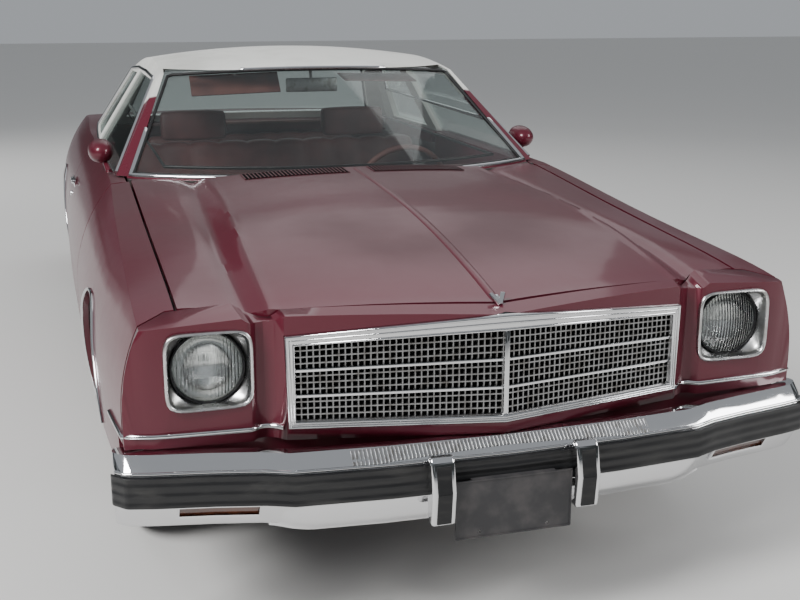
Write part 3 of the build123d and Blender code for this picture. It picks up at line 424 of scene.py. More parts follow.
def hood_point(across, share):
    """Point on the hood's outer face: across from -1 to 1, and share of the way from front to rear."""
    x = abs(HOOD_HALF * across)
    front_y, rear_y = between_rows(FRONT_EDGE, x)[0], rear_edge_y(x)
    y = front_y + (rear_y - front_y) * share
    z = height("hood", min(x, HOOD_RIM_X), held(y, front_y + 0.004, rear_y - 0.006))
    ridge_x, valley_x = between_rows(FOLD_LINES, y)
    z += RIDGE_LIFT * bell(x - ridge_x, RIDGE_WIDTH) - VALLEY_SINK * bell(x - valley_x, VALLEY_WIDTH)
    fender_z = height("front_fenders", FENDER_RIM_X, held(y, -2.28, -0.93))
    rim_z = height("hood", HOOD_RIM_X, held(y, -2.285, -0.87))
    z += (fender_z + RIM_PROUD - rim_z) * held((x - RIM_BLEND_X) / RIM_BLEND_WIDTH) ** 1.5
    return Vector((HOOD_HALF * across, y, z))


def pressed(columns, rows, place):
    """A sheet whose points are set by place, from -1 to 1 across and from 0 to 1 along."""
    work = bmesh.new()
    bmesh.ops.create_grid(work, x_segments=columns, y_segments=rows, size=1.0)
    for v in work.verts:
        v.co = place(v.co.x, (v.co.y + 1.0) / 2.0)
    return work


def moved_copy(work, faces, step):
    """Extrudes faces by step and leaves them as the other side of a closed shell."""
    grown = bmesh.ops.extrude_face_region(work, geom=faces)["geom"]
    bmesh.ops.translate(work, verts=[g for g in grown if isinstance(g, bmesh.types.BMVert)], vec=step)


def post(work, place, radius, depth, segments=24, tip=None, turned=Matrix.Identity(4)):
    """Round bar centred on place, upright until turned, with radius tip at its far end."""
    bmesh.ops.create_cone(
        work, cap_ends=True, segments=segments, radius1=radius, radius2=radius if tip is None else tip,
        depth=depth, matrix=Matrix.Translation(place) @ turned,
    )


hood = pressed(HOOD_COLUMNS, HOOD_ROWS, hood_point)
moved_copy(hood, hood.faces[:], (0, 0, -HOOD_SHEET))
outward(hood)
for side in (-1, 1):
    crosswise = Matrix.Rotation(math.pi / 2, 4, "Y")
    post(hood, (side * PIN_X, PIN_Y, PIN_Z), PIN_RADIUS, PIN_LENGTH, 16, turned=crosswise)
finished("hood_look", hood, "hood", paint, smooth=40.0, replaces=["hood"])

# Hood trim: a narrow raised split down the middle, a small plain ornament at its front end, and two rows of
# short slots that let air into the cowl, drawn as paint-coloured ribs over black strips of painted shade.
SPLIT_LINE = [(0, -1.10, FROM_ABOVE), (0, -2.455, FROM_ABOVE)]
strip("hood_split", ["hood"], SPLIT_LINE, DOWN, 0.020, "hood", count=60, sink=0.86,
      finish=paint, slot="paint")


def bar(work, a, b, width, depth, across=(0, 0, 1)):
    """Straight bar from a to b, with its width along across and its depth along the third direction."""
    a, b = Vector(a), Vector(b)
    run = b - a
    length_axis = run.normalized()
    depth_axis = length_axis.cross(Vector(across)).normalized()
    width_axis = depth_axis.cross(length_axis)
    turned = Matrix((length_axis, width_axis, depth_axis)).transposed().to_4x4()
    sized = Matrix.Diagonal((run.length, width, depth, 1.0))
    bmesh.ops.create_cube(work, size=1.0, matrix=Matrix.Translation((a + b) / 2) @ turned @ sized)


ORNAMENT_TIP = (0, -2.478, 0.846)
ornament = bmesh.new()
for side in (-1, 1):
    bar(ornament, ORNAMENT_TIP, (side * 0.017, -2.452, 0.868), 0.007, 0.012)
bar(ornament, ORNAMENT_TIP, (0, -2.448, 0.862), 0.006, 0.010)
soften(ornament, ornament.edges, 0.0015)
finished("hood_ornament", ornament, "hood", chrome)

VENT_FROM, VENT_TO, VENT_SLOTS, VENT_HALF, VENT_MARGIN = 0.045, 0.395, 27, 0.048, 0.014
VENT_STEP = (VENT_TO - VENT_FROM) / VENT_SLOTS
# The slots' depths are black strips of painted shade laid just over the hood, between paint-coloured ribs
vent_shade_floor, vent_ribs = bmesh.new(), bmesh.new()
for side in (-1, 1):
    for i in range(VENT_SLOTS + 1):
        x = VENT_FROM + VENT_STEP * i
        y = rear_edge_y(x) - VENT_MARGIN - VENT_HALF
        top, up = touch(["hood"], (side * x, y, FROM_ABOVE), DOWN)[:2]
        if i < VENT_SLOTS:
            # The last rib, which has no slot after it, keeps the slope of the last slot
            slope = Vector((0, VENT_HALF, -up.y / up.z * VENT_HALF))
            middle = Vector((side * (x + VENT_STEP / 2), y, top.z + 0.0020))
            bar(vent_shade_floor, middle - slope, middle + slope, VENT_STEP * 0.66, 0.001, (1, 0, 0))
        lifted = top + Vector((0, 0, 0.0022))
        bar(vent_ribs, lifted - slope * 1.04, lifted + slope * 1.04, 0.0035, 0.003, (1, 0, 0))
finished("vent_slot_shade", vent_shade_floor, "hood", shade_black)
finished("vent_ribs", vent_ribs, "hood", paint)

# Grille: a dulled die-cast lattice of small square openings each side of a bright middle bar, in three
# tiers, over a black screen of painted shade, inside the bright stepped surround. Its face is a shallow V.
rounded("grille_surround", chrome, radius=0.004)
MESH_COLUMNS, MESH_TIERS, ROWS_PER_TIER = 33, 3, 4
MESH_X0, MESH_X1, OPENING_X = 0.007, 0.5045, 0.506
MESH_LOW, MESH_HIGH, MESH_FALL = 0.5775, 0.7925, 0.0225
FACE_MIDDLE_Y, FACE_SIDE_X, FACE_BACK = -2.535, 0.526, 0.105
MIDDLE_BAR_Y, MIDDLE_BAR_LOW, MIDDLE_BAR_HIGH = -2.521, 0.572, 0.797
# Kinds of bar: how far behind the grille's face, width, depth
UPRIGHT, ROW, TIER = (0.017, 0.0033, 0.012), (0.0165, 0.0034, 0.012), (0.012, 0.0085, 0.014)
BACK_SHADE_SCREEN = (0.027, 0.075, 0.002)


def grille_face_y(x):
    return FACE_MIDDLE_Y + FACE_BACK * x / FACE_SIDE_X


def lattice_point(x, share, back):
    """Point of the lattice: share of its height from its low edge, and back behind the grille's face."""
    high = MESH_HIGH - MESH_FALL * x / MESH_X1
    return Vector((x, grille_face_y(x) + back, MESH_LOW + share * (high - MESH_LOW)))


def grille_bar(work, kind, start, end, across):
    """A bar and its mirror image, from start to end, each given as x and share of the height."""
    back, width, depth = kind
    a, b = lattice_point(*start, back), lattice_point(*end, back)
    bar(work, a, b, width, depth, across)
    flip = Vector((-1, 1, 1))
    bar(work, a * flip, b * flip, width, depth, Vector(across) * flip)


lattice, tier_bars, shade_screen = bmesh.new(), bmesh.new(), bmesh.new()
for i in range(MESH_COLUMNS + 1):
    x = MESH_X0 + (MESH_X1 - MESH_X0) * i / MESH_COLUMNS
    grille_bar(lattice, UPRIGHT, (x, 0), (x, 1), (1, 0, 0))
rows = MESH_TIERS * ROWS_PER_TIER
for i in range(rows + 1):
    between_tiers = i % ROWS_PER_TIER == 0 and 0 < i < rows
    work, kind = (tier_bars, TIER) if between_tiers else (lattice, ROW)
    grille_bar(work, kind, (MESH_X0, i / rows), (MESH_X1, i / rows), (0, 0, 1))
middle_foot, middle_head = (0, MIDDLE_BAR_Y, MIDDLE_BAR_LOW), (0, MIDDLE_BAR_Y, MIDDLE_BAR_HIGH)
bar(tier_bars, middle_foot, middle_head, 0.013, 0.022, (1, 0, 0))
# Three black strips of painted shade behind the lattice's tiers, for the dark space behind the grille
for low, high in ((0.0, 0.33), (0.33, 0.66), (0.66, 1.0)):
    middle = (low + high) / 2
    grille_bar(shade_screen, BACK_SHADE_SCREEN, (0, middle), (OPENING_X, middle), (0, 0, 1))
finished("grille_lattice", lattice, "body", satin, replaces=["grille_mesh"])
soften(tier_bars, tier_bars.edges, 0.0015)
finished("grille_tier_bars", tier_bars, "body", chrome)
finished("grille_shade_screen", shade_screen, "body", shade_black)
# Steps pressed into the surround: share of the way from its outer edge to the opening, radius
SURROUND_STEPS = [(0.14, 0.0042), (0.52, 0.0030), (0.93, 0.0040)]
SURROUND_OUTER = [(0.0, 0.562), (0.522, 0.562), (0.528, 0.794), (0.0, 0.836)]
SURROUND_INNER = [(0.0, 0.576), (0.506, 0.576), (0.506, 0.770), (0.0, 0.795)]
for i, (share, radius) in enumerate(SURROUND_STEPS):
    half = []
    for (outer_x, outer_z), (inner_x, inner_z) in zip(SURROUND_OUTER, SURROUND_INNER):
        x, z = outer_x + (inner_x - outer_x) * share, outer_z + (inner_z - outer_z) * share
        half.append(Vector((x, grille_face_y(x) + 0.0005, z)))
    other = [Vector((-p.x, p.y, p.z)) for p in half[2:0:-1]]
    moulding(f"surround_step_{i}", half + other, radius, "body", closed=True)

# Headlamps: round sealed-beam lamps with fluted glass over a bright bowl, held by a black retaining ring,
# each in a square bright bezel that dishes in to the lamp.
LAMP = Vector((0.705, 0.0, 0.717))
TINY_EDGE = 0.0006


def ringed(work, rings, segments=64, centre=LAMP, side=1):
    """Skin through rings, each given as half width, half height, squareness from 2 (round) to 8, and y."""
    loop = bmesh.ops.create_circle(work, segments=segments, radius=1.0)["verts"]
    edges = list({e for v in loop for e in v.link_edges})
    angles = [math.atan2(v.co.y, v.co.x) for v in loop]
    for row, (half_x, half_z, square, y) in enumerate(rings):
        if row:
            grown = bmesh.ops.extrude_edge_only(work, edges=edges)["geom"]
            fresh = [g for g in grown if isinstance(g, bmesh.types.BMVert)]
            ordered = []
            for v in loop:
                ordered.append(next(e.other_vert(v) for e in v.link_edges if e.other_vert(v) in fresh))
            loop = ordered
            edges = [g for g in grown if isinstance(g, bmesh.types.BMEdge)]
            edges = [e for e in edges if e.verts[0] in loop and e.verts[1] in loop]
        for v, a in zip(loop, angles):
            reach = (abs(math.cos(a)) ** square + abs(math.sin(a)) ** square) ** (-1.0 / square)
            x, z = half_x * reach * math.cos(a), half_z * reach * math.sin(a)
            v.co = Vector((side * (centre.x + x), y, centre.z + z))
    return loop


def close_tips(work):
    """Fills the pin-holes left at the middle of round skins."""
    tips = [e for e in work.edges if e.is_boundary and e.calc_length() < TINY_EDGE]
    bmesh.ops.holes_fill(work, edges=tips)


# Half width, half height, squareness and y of each ring
BEZEL = [
    (0.1060, 0.0970, 6, -2.390), (0.1065, 0.0975, 6, -2.4085), (0.1050, 0.0960, 6, -2.4125),
    (0.1015, 0.0925, 6, -2.4140), (0.0985, 0.0900, 6.5, -2.4120), (0.0970, 0.0888, 6.5, -2.4060),
    (0.0962, 0.0884, 6, -2.398), (0.0950, 0.0882, 4.5, -2.390), (0.0930, 0.0880, 2.8, -2.382),
    (0.0905, 0.0875, 2.05, -2.370),
]
# Radius and y of each ring
BOWL = [
    (0.0850, -2.371), (0.0800, -2.356), (0.0680, -2.338), (0.0500, -2.323), (0.0300, -2.315),
    (0.0130, -2.313), (0.0120, -2.322), (0.0080, -2.326), (0.0010, -2.327),
]
RETAINER = [(0.0848, -2.369), (0.0850, -2.3770), (0.0870, -2.3815), (0.0895, -2.3805), (0.0910, -2.370)]
LENS_R, LENS_RISE, LENS_FRONT_Y, LENS_WALL = 0.0862, 0.020, -2.394, 0.003
LENS = []
for share in (1.0, 0.93, 0.78, 0.58, 0.36, 0.15, 0.02):
    radius = LENS_R * share
    LENS.append((radius, LENS_FRONT_Y + LENS_RISE * (radius / LENS_R) ** 2))

reflector = Finish("lamp_bowl", Metallic=1.0, Base_Color=(0.86, 0.86, 0.84, 1.0))
reflector.feed("Roughness", 0.08 + reflector.noise(20.0) * 0.1)
lens = Finish("lamp_glass", Transmission_Weight=1.0, IOR=1.38, Base_Color=(0.93, 0.95, 0.95, 1.0))
lens_x, _, lens_z = lens.axes()
flutes = (lens_x * 760.0).wave() * 0.6 + ((lens_z * 190.0).wave() > 0.0) * 0.5
lens.feed("Roughness", 0.03 + lens.noise(40.0) * 0.05)
lens.bump(flutes, 0.85, 0.0030)
bezel, bowls, glasses, retainers = bmesh.new(), bmesh.new(), bmesh.new(), bmesh.new()
for side in (-1, 1):
    ringed(bezel, BEZEL, side=side)
    for work, profile in ((bowls, BOWL), (glasses, LENS), (retainers, RETAINER)):
        ringed(work, [(r, r, 2, y) for r, y in profile], side=side)
outward(bezel)
for work in (bowls, glasses, retainers):
    close_tips(work)
    outward(work)
finished("bezels", bezel, "body", brushed, smooth=60, replaces=["lamp_bezels"])
finished("lamp_bowls", bowls, "body", reflector, smooth=60, replaces=["headlamps"])
glass_piece = finished("lamp_lenses", glasses, "body", lens, smooth=60)
wall = glass_piece.modifiers.new("wall", "SOLIDIFY")
wall.thickness = LENS_WALL
wall.offset = -1.0
finished("lamp_retainers", retainers, "body", black, smooth=60)

# Bumpers: chromed pressed bars with a black ribbed rubber strip along the face and chromed guards; the front
# bar has a bead over the rubber and a deeper middle that swells forward between the parking lamps.
ribbed_rubber = Finish("ribbed_rubber", Specular_IOR_Level=0.45)
scuffed = ribbed_rubber.noise(40.0, 5.0, (0.15, 1.0, 1.0))
ribbed_rubber.weather(scuffed, (0.45, 0.8), (0.010, 0.010, 0.011), (0.030, 0.029, 0.028), 0.30, 0.2)
ribbed_rubber.bump((ribbed_rubber.axes()[2] * 260.0).wave(), 0.6, 0.002)
for node in ("front_bumper", "rear_bumper"):
    rounded(node, chrome, radius=0.007, angle=25, segments=3, ends=0.018)
for node in ("front_bumper_strip", "rear_bumper_strip"):
    rounded(node, ribbed_rubber, radius=0.006, segments=3, ends=0.018)

BEAD_X = [-0.935, -0.905, -0.84, -0.70, -0.53, -0.28, 0.0, 0.28, 0.53, 0.70, 0.84, 0.905, 0.935]
BEAD_Z = 0.4935
bead_line = [(x, FROM_AHEAD, BEAD_Z) for x in BEAD_X]
strip("front_bumper_bead", ["front_bumper"], bead_line, REARWARD, 0.0045, "body", count=90, sink=0.2)
SWELL_COLUMNS, SWELL_ROWS, SWELL_OUT, SWELL_DROP = 96, 8, 0.013, 0.014
SWELL_FULL_X, SWELL_END_X, SWELL_TOP_Z, SWELL_LOW_Z = 0.475, 0.585, 0.404, 0.336
BAR_LOW_Z = 0.344


def swell_point(across, up):
    """Point on the bumper's deeper middle: across from -1 to 1, and up from its low edge to its top."""
    x = SWELL_END_X * across
    fade = held((SWELL_END_X - abs(x)) / (SWELL_END_X - SWELL_FULL_X))
    fade = fade * fade * (3.0 - 2.0 * fade)
    z = SWELL_LOW_Z + (SWELL_TOP_Z - SWELL_LOW_Z) * up
    face_y = front_of("front_bumper", x, max(z, BAR_LOW_Z)).y
    crown = (1.0 - up ** 4) * (1.0 - (1.0 - up) ** 6)
    return Vector((x, face_y + 0.002 - fade * SWELL_OUT * crown, z - SWELL_DROP * fade * (1.0 - up)))


swell = pressed(SWELL_COLUMNS, SWELL_ROWS, swell_point)
finished("front_bumper_swell", swell, "body", chrome, smooth=60)
rounded("front_bumper_guards", chrome, radius=0.008, segments=3)
rounded("rear_bumper_guards", chrome, radius=0.004, segments=2)

# Bumper dressing: rubber faces on the guards, a ribbed pad along the bar's top between its shoulders, a dark
# blank plate with a beaded edge, and amber parking lamps in bright frames.
GUARD_X, GUARD_LEVELS = 0.188, (0.352, 0.430, 0.496)
pads = bmesh.new()
for side in (-1, 1):
    points = [front_of("front_bumper_guards", side * GUARD_X, z) for z in GUARD_LEVELS]
    for a, b in zip(points, points[1:]):
        bar(pads, a, b, 0.036, 0.005, (1, 0, 0))
finished("guard_faces", pads, "body", black)

PAD_RIBS, PAD_HALF, PAD_LIFT = 108, 0.525, Vector((0, 0, 0.001))
PAD_FRONT_Y, PAD_REAR_Y, PAD_BOW = -2.553, -2.531, 0.022
ribbed = bmesh.new()
for i in range(PAD_RIBS + 1):
    x = -PAD_HALF + 2 * PAD_HALF * i / PAD_RIBS
    rear_y = PAD_REAR_Y + PAD_BOW * (abs(x) / PAD_HALF) ** 2
    front, rear = (touch(["front_bumper"], (x, y, FROM_ABOVE), DOWN) for y in (PAD_FRONT_Y, rear_y))
    if front and rear:
        bar(ribbed, front[0] + PAD_LIFT, rear[0] + PAD_LIFT, 0.0062, 0.0035, (1, 0, 0))
finished("bumper_step_pad", ribbed, "body", satin)

blank = Finish("blank_plate", Specular_IOR_Level=0.4)
blank.weather(blank.noise(18.0, 5.0), (0.4, 0.7), (0.035, 0.034, 0.036), (0.065, 0.06, 0.06), 0.4, 0.2)
rounded("front_plate", blank, radius=0.001)


def around(work, corners, width, depth):
    """Bars along the sides of a closed upright rectangle of points."""
    for a, b in zip(corners, corners[1:] + corners[:1]):
        bar(work, a, b, width, depth, (0, 0, 1) if abs(a[0] - b[0]) > abs(a[2] - b[2]) else (1, 0, 0))


plate_bead = bmesh.new()
PLATE_BEAD_Y = -2.6005
PLATE_CORNERS = [(-0.1505, 0.296), (0.1505, 0.296), (0.1505, 0.444), (-0.1505, 0.444)]
around(plate_bead, [(x, PLATE_BEAD_Y, z) for x, z in PLATE_CORNERS], 0.004, 0.0025)
finished("plate_bead", plate_bead, "body", blank)


def moulded_lens(name, scale, dark, light, rough, spread, axis, ridges):
    """Coloured lens plastic with fine ridges moulded across one axis."""
    made = Finish(name, Specular_IOR_Level=0.6, Coat_Weight=0.6)
    made.feed("Base Color", made.mixed(made.noise(scale).between(0.4, 0.7), dark, light))
    made.feed("Roughness", rough + made.noise(60.0) * spread)
    made.bump((made.axes()[axis] * ridges).wave(), 0.35, 0.0008)
    return made


amber = moulded_lens("amber_lens", 30.0, (0.055, 0.013, 0.005), (0.10, 0.028, 0.010), 0.16, 0.12, 0, 900.0)
rounded("parking_lamps", amber, radius=0.002)
# Long and short sides of the frames, which follow the bar's face
LONG_SIDES_Z, LONG_SIDES_X = (0.3725, 0.4075), (0.607, 0.713, 0.800)
SHORT_SIDES_X, SHORT_SIDES_Z = (0.609, 0.798), (0.372, 0.4085)
FRAME_WIDTH, FRAME_DEPTH = 0.005, 0.009
lamp_frames = bmesh.new()
for side in (-1, 1):
    for z in LONG_SIDES_Z:
        ends = [front_of("front_bumper", side * x, z) for x in LONG_SIDES_X]
        for a, b in zip(ends, ends[1:]):
            bar(lamp_frames, a, b, FRAME_WIDTH, FRAME_DEPTH, (0, 0, 1))
    for x in SHORT_SIDES_X:
        low, high = (front_of("front_bumper", side * x, z) for z in SHORT_SIDES_Z)
        bar(lamp_frames, low, high, FRAME_WIDTH, FRAME_DEPTH, (1, 0, 0))
finished("parking_lamp_frames", lamp_frames, "body", chrome)

# Bright strips on the sheet metal: under the lamp pods, round the wheel arches and along the sills, each a
# thin half-round moulding clipped to the panel behind it.
SIDES = ((1, "left"), (-1, "right"))
POD_STRIP_Z, POD_STRIP_FROM, POD_STRIP_TO = 0.562, 0.531, 0.872
POD_CORNER_Y, POD_SIDE_RUN, POD_PROUD = -2.372, 0.19, 0.0015
FRONT_AXLE_Y, REAR_AXLE_Y = -1.570, 1.275
ARCHES = (("front", FRONT_AXLE_Y, "front_fenders"), ("rear", REAR_AXLE_Y, "quarter_panels"))
ARCH_Z, ARCH_R, ARCH_FROM, ARCH_SWEEP = 0.337, 0.387, -12, 204
SILL_FROM_Y, SILL_TO_Y, SILL_STRIP_Z = -1.165, 0.872, 0.247
for side, word in SIDES:
    pod_path = []
    for step in range(31):
        x = POD_STRIP_FROM + (POD_STRIP_TO - POD_STRIP_FROM) * step / 30
        pod_path.append(front_of("nose_panel", side * x, POD_STRIP_Z) + Vector((0, -POD_PROUD, 0)))
    beside_x, inward = side * FROM_BESIDE, (-side, 0, 0)
    for step in range(9):
        y = POD_CORNER_Y + POD_SIDE_RUN * step / 8
        found = touch(["nose_panel", "front_fenders"], (beside_x, y, POD_STRIP_Z), inward)
        pod_path.append(found[0] + Vector((side * POD_PROUD, 0, 0)))
    moulding(f"pod_strip_{word}", pod_path, 0.0065, "body")
    for end, axle_y, panel in ARCHES:
        arc = []
        for step in range(49):
            a = math.radians(ARCH_FROM + ARCH_SWEEP * step / 48)
            arc.append((beside_x, axle_y + ARCH_R * math.cos(a), ARCH_Z + ARCH_R * math.sin(a)))
        strip(f"arch_lip_{end}_{word}", [panel], arc, inward, 0.0055, "body", count=80)
    sill = [(beside_x, SILL_FROM_Y, SILL_STRIP_Z), (beside_x, SILL_TO_Y, SILL_STRIP_Z)]
    strip(f"sill_strip_{word}", ["rocker_panels"], sill, inward, 0.0075, "body", count=30)

# Roof: steel turret and pillars under white grained vinyl, with seams lengthways, the windscreen pillars in
# body colour, and bright drip rails and screen mouldings over black gaskets.
vinyl = Finish("white_vinyl", Specular_IOR_Level=0.4)
roof_x, roof_y, roof_z = vinyl.axes()
grain = vinyl.cells(520.0, "DISTANCE_TO_EDGE")
stain = vinyl.noise(3.0, 6.0)
pillar = (1.0 - (roof_y + roof_z * 1.25).between(1.02, 1.04)) * (roof_z < 1.318)
soiled = vinyl.mixed(stain.between(0.45, 0.8), (0.74, 0.74, 0.70), (0.50, 0.50, 0.46))
vinyl.feed("Base Color", vinyl.mixed(pillar, soiled, DEEP_BURGUNDY))
vinyl.feed("Roughness", 0.46 + stain * 0.18 - pillar * 0.28)
seam = 1.0 - abs(abs(roof_x) - 0.36).between(0.002, 0.006)
vinyl.bump(grain.between(0.0, 0.18) * (1.0 - pillar) + seam * (1.0 - pillar) * 4.0, 0.25, 0.0008)
rounded("roof", vinyl, radius=0.003, angle=40)

SCREEN_TOP, SCREEN_ARCH, SCREEN_HALF, SCREEN_MIDDLE_Z = 1.306, 0.0607, 0.576, 1.131
GASKET_X, GASKET_Z = 0.984, 0.972
arched_top = []
for i in range(13):
    x = SCREEN_HALF * (i - 6) / 6
    arched_top.append((x, SCREEN_TOP - SCREEN_ARCH * x * x))
AROUND_SCREEN = [(-0.757, 0.958), *arched_top, (0.757, 0.958), (-0.757, 0.958)]
AROUND_REAR = [(-0.647, 0.981), (-0.526, 1.2965), (0.526, 1.2965), (0.647, 0.981), (-0.647, 0.981)]
for name, outline, start_y, toward in (
    ("windscreen", AROUND_SCREEN, FROM_AHEAD, REARWARD), ("rear_window", AROUND_REAR, FROM_BEHIND, FORWARD),
):
    guide = [(x, start_y, z) for x, z in outline]
    strip(f"{name}_moulding", ["roof"], guide, toward, 0.0085, "body", count=150, sink=0.3, closed=True)
    inner = [(x * GASKET_X, start_y, SCREEN_MIDDLE_Z + (z - SCREEN_MIDDLE_Z) * GASKET_Z) for x, z in outline]
    strip(f"{name}_gasket", ["windshield", "rear_window"], inner, toward, 0.006, "body", count=150, sink=0.3,
          closed=True, finish=black, slot="bumper_rubber")
# Drip rail from the foot of the windscreen pillar over the doors to the foot of the rear pillar: y, z
DRIP_RAIL = [(-0.752, 0.962), (-0.318, 1.268), (0.0, 1.277), (0.36, 1.274), (0.72, 1.252), (0.99, 0.97)]
# Belt line on the door's top edge: x, y
BELT = [(0.822, -0.70), (0.829, -0.2), (0.829, 0.30)]
REAR_BELT_FROM_Y, REAR_BELT_TO_Y, REAR_BELT_Z = 0.36, 1.12, 0.957
for side, word in SIDES:
    beside_x, inward = side * FROM_BESIDE, (-side, 0, 0)
    rail = [(beside_x, y, z) for y, z in DRIP_RAIL]
    strip(f"drip_rail_{word}", ["roof"], rail, inward, 0.0075, "body", count=90, sink=0.25)
    door = f"door_{word}"
    belt = [(side * x, y, FROM_ABOVE) for x, y in BELT]
    strip(f"belt_strip_{word}", [door], belt, DOWN, 0.005, door, count=30, sink=0.25)
    rear_belt = [(beside_x, REAR_BELT_FROM_Y, REAR_BELT_Z), (beside_x, REAR_BELT_TO_Y, REAR_BELT_Z)]
    strip(f"rear_belt_strip_{word}", ["roof"], rear_belt, inward, 0.006, "body", count=30, sink=0.25)

# Window glass: lightly tinted safety glass, clear enough to show the seats, glossier where it is seen edge
# on, with a thin film of dust.
window = Finish("tinted_glass")
clear = window.add("BsdfTransparent", {}, {"Color": (0.90, 0.935, 0.925, 1.0)})
gloss = window.add("BsdfGlossy", {}, {"Color": (0.95, 0.97, 0.97, 1.0), "Roughness": 0.02})
edge_on = window.add("LayerWeight", {}, {"Blend": 0.5}, "Facing")
glass_dust = window.noise(5.0, 6.0).between(0.5, 0.9)
sheen = edge_on * edge_on * edge_on * 0.5 + glass_dust * 0.03 + 0.03
glass_mix = window.add("MixShader", {}, {0: sheen, 1: clear, 2: gloss})
window.tree.links.new(glass_mix.socket, window.tree.nodes["Material Output"].inputs["Surface"])
for node in ("windshield", "rear_window", "quarter_glass", "door_glass_left", "door_glass_right"):
    rounded(node, window, radius=0.0008, segments=1)

# Door furniture: bullet mirrors on stalks in body colour with a bright face, bridge handles on a flush plate
# and round locks below them.
MIRROR = Vector((0.845, 0.0, 1.018))
# Rings of the shell and of its glass: half width, half height, squareness and y
MIRROR_SHELL = [
    (0.0400, 0.0385, 2.3, -0.5400), (0.0440, 0.0425, 2.3, -0.5395), (0.0455, 0.0440, 2.3, -0.545),
    (0.0452, 0.0438, 2.2, -0.565), (0.0430, 0.0415, 2.1, -0.590), (0.0370, 0.0355, 2, -0.612),
    (0.0260, 0.0250, 2, -0.628), (0.0120, 0.0115, 2, -0.6355), (0.0012, 0.0012, 2, -0.6368),
]
MIRROR_FACE = [(0.0425, 0.041, 2.3, -0.5396), (0.0405, 0.039, 2.3, -0.5385), (0.0385, 0.037, 2.3, -0.5397)]
STALK_FOOT, STALK_NECK = Vector((0.822, -0.635, 0.950)), Vector((0.836, -0.590, 0.992))
HANDLE_Y, HANDLE_Z, LOCK_Z = 0.20, 0.795, 0.745


def standing_on(direction):
    """Turn that stands an upright post along direction."""
    return direction.to_track_quat("Z", "Y").to_matrix().to_4x4()


for side, word in SIDES:
    door = f"door_{word}"
    shell = bmesh.new()
    ringed(shell, MIRROR_SHELL, segments=40, centre=MIRROR, side=side)
    close_tips(shell)
    mirrored = Vector((side, 1, 1))
    foot, neck = STALK_FOOT * mirrored, STALK_NECK * mirrored
    stalk = neck - foot
    post(shell, (foot + neck) / 2, 0.0115, stalk.length, 20, tip=0.008, turned=standing_on(stalk))
    post(shell, foot + Vector((0, 0, 0.0015)), 0.0135, 0.006, tip=0.011)
    outward(shell)
    finished(f"mirror_shell_{word}", shell, door, paint, smooth=50, replaces=[f"mirror_{word}"])
    face = bmesh.new()
    loop = ringed(face, MIRROR_FACE, segments=40, centre=MIRROR, side=side)
    bmesh.ops.contextual_create(face, geom=loop)
    outward(face)
    finished(f"mirror_face_{word}", face, door, chrome, smooth=50)

    handle = bmesh.new()
    skin, away = touch([door], (side * FROM_BESIDE, HANDLE_Y, HANDLE_Z), (-side, 0, 0))[:2]
    back_plate = skin + away * 0.004
    bar(handle, back_plate + Vector((0, -0.085, 0)), back_plate + Vector((0, 0.085, 0)), 0.030, 0.008)
    grip = skin + away * 0.014 + Vector((0, 0, 0.004))
    bar(handle, grip + Vector((0, -0.075, 0)), grip + Vector((0, 0.045, 0)), 0.014, 0.010)
    for end_y in (-0.070, 0.040):
        leg = skin + Vector((0, end_y, 0.004))
        bar(handle, leg, grip + Vector((0, end_y, 0)), 0.012, 0.014, (0, 1, 0))
    soften(handle, handle.edges, 0.003)
    lock, away = touch([door], (side * FROM_BESIDE, HANDLE_Y, LOCK_Z), (-side, 0, 0))[:2]
    post(handle, lock + away * 0.002, 0.012, 0.006, tip=0.010, turned=standing_on(away))
    finished(f"door_handle_{word}", handle, door, chrome)

# Wheels: road tyres with four grooves, shoulder blocks and a plain sidewall with raised rings, on silver
# steel rims with a bright trim ring and a plain domed cap.
tyre_rubber = Finish("tyre_rubber", Specular_IOR_Level=0.3)
tread_dirt = tyre_rubber.noise(16.0, 5.0)
tyre_rubber.weather(tread_dirt, (0.4, 0.75), (0.016, 0.016, 0.016), (0.055, 0.05, 0.045), 0.62, 0.25)
tyre_rubber.bump(tyre_rubber.noise(260.0, 3.0), 0.2, 0.0008)
steel = Finish("silver_steel", Metallic=0.6, Coat_Weight=0.2)
steel.weather(steel.noise(14.0, 5.0), (0.4, 0.75), (0.42, 0.43, 0.45), (0.20, 0.17, 0.14), 0.34, 0.3)
# Profiles: distance outward from the middle of the tyre, radius
SIDEWALL = [
    (0.0805, 0.1795), (0.0808, 0.194), (0.0900, 0.206), (0.0965, 0.222), (0.0990, 0.225), (0.0985, 0.230),
    (0.1020, 0.250), (0.1035, 0.268), (0.1015, 0.288), (0.1000, 0.292), (0.0985, 0.300), (0.0945, 0.316),
    (0.0900, 0.327), (0.0850, 0.3345), (0.0780, 0.3395),
]
TREAD = [
    (0.0580, 0.3425), (0.0570, 0.3350), (0.0510, 0.3350), (0.0500, 0.3438), (0.0230, 0.3446),
    (0.0220, 0.3370), (0.0160, 0.3370), (0.0150, 0.3448),
]
TRIM_RING = [
    (0.088, 0.186), (0.0905, 0.190), (0.0925, 0.187), (0.089, 0.176), (0.074, 0.168), (0.062, 0.160),
    (0.056, 0.152), (0.052, 0.150),
]
HUB_CAP = [
    (0.012, 0.052), (0.030, 0.050), (0.046, 0.045), (0.058, 0.036), (0.064, 0.024), (0.066, 0.010),
    (0.0665, 0.0005),
]
AXLE_Z = 0.345
WHEELS = (("front", FRONT_AXLE_Y, 0.781), ("rear", REAR_AXLE_Y, 0.771))
# Shoulder blocks: their distance from the tyre's middle and how far each reaches to its side
SHOULDER_BLOCKS, BLOCK_RADIUS = 64, 0.3428
BLOCK_ROWS = ((-0.067, -0.010), (0.067, 0.010))


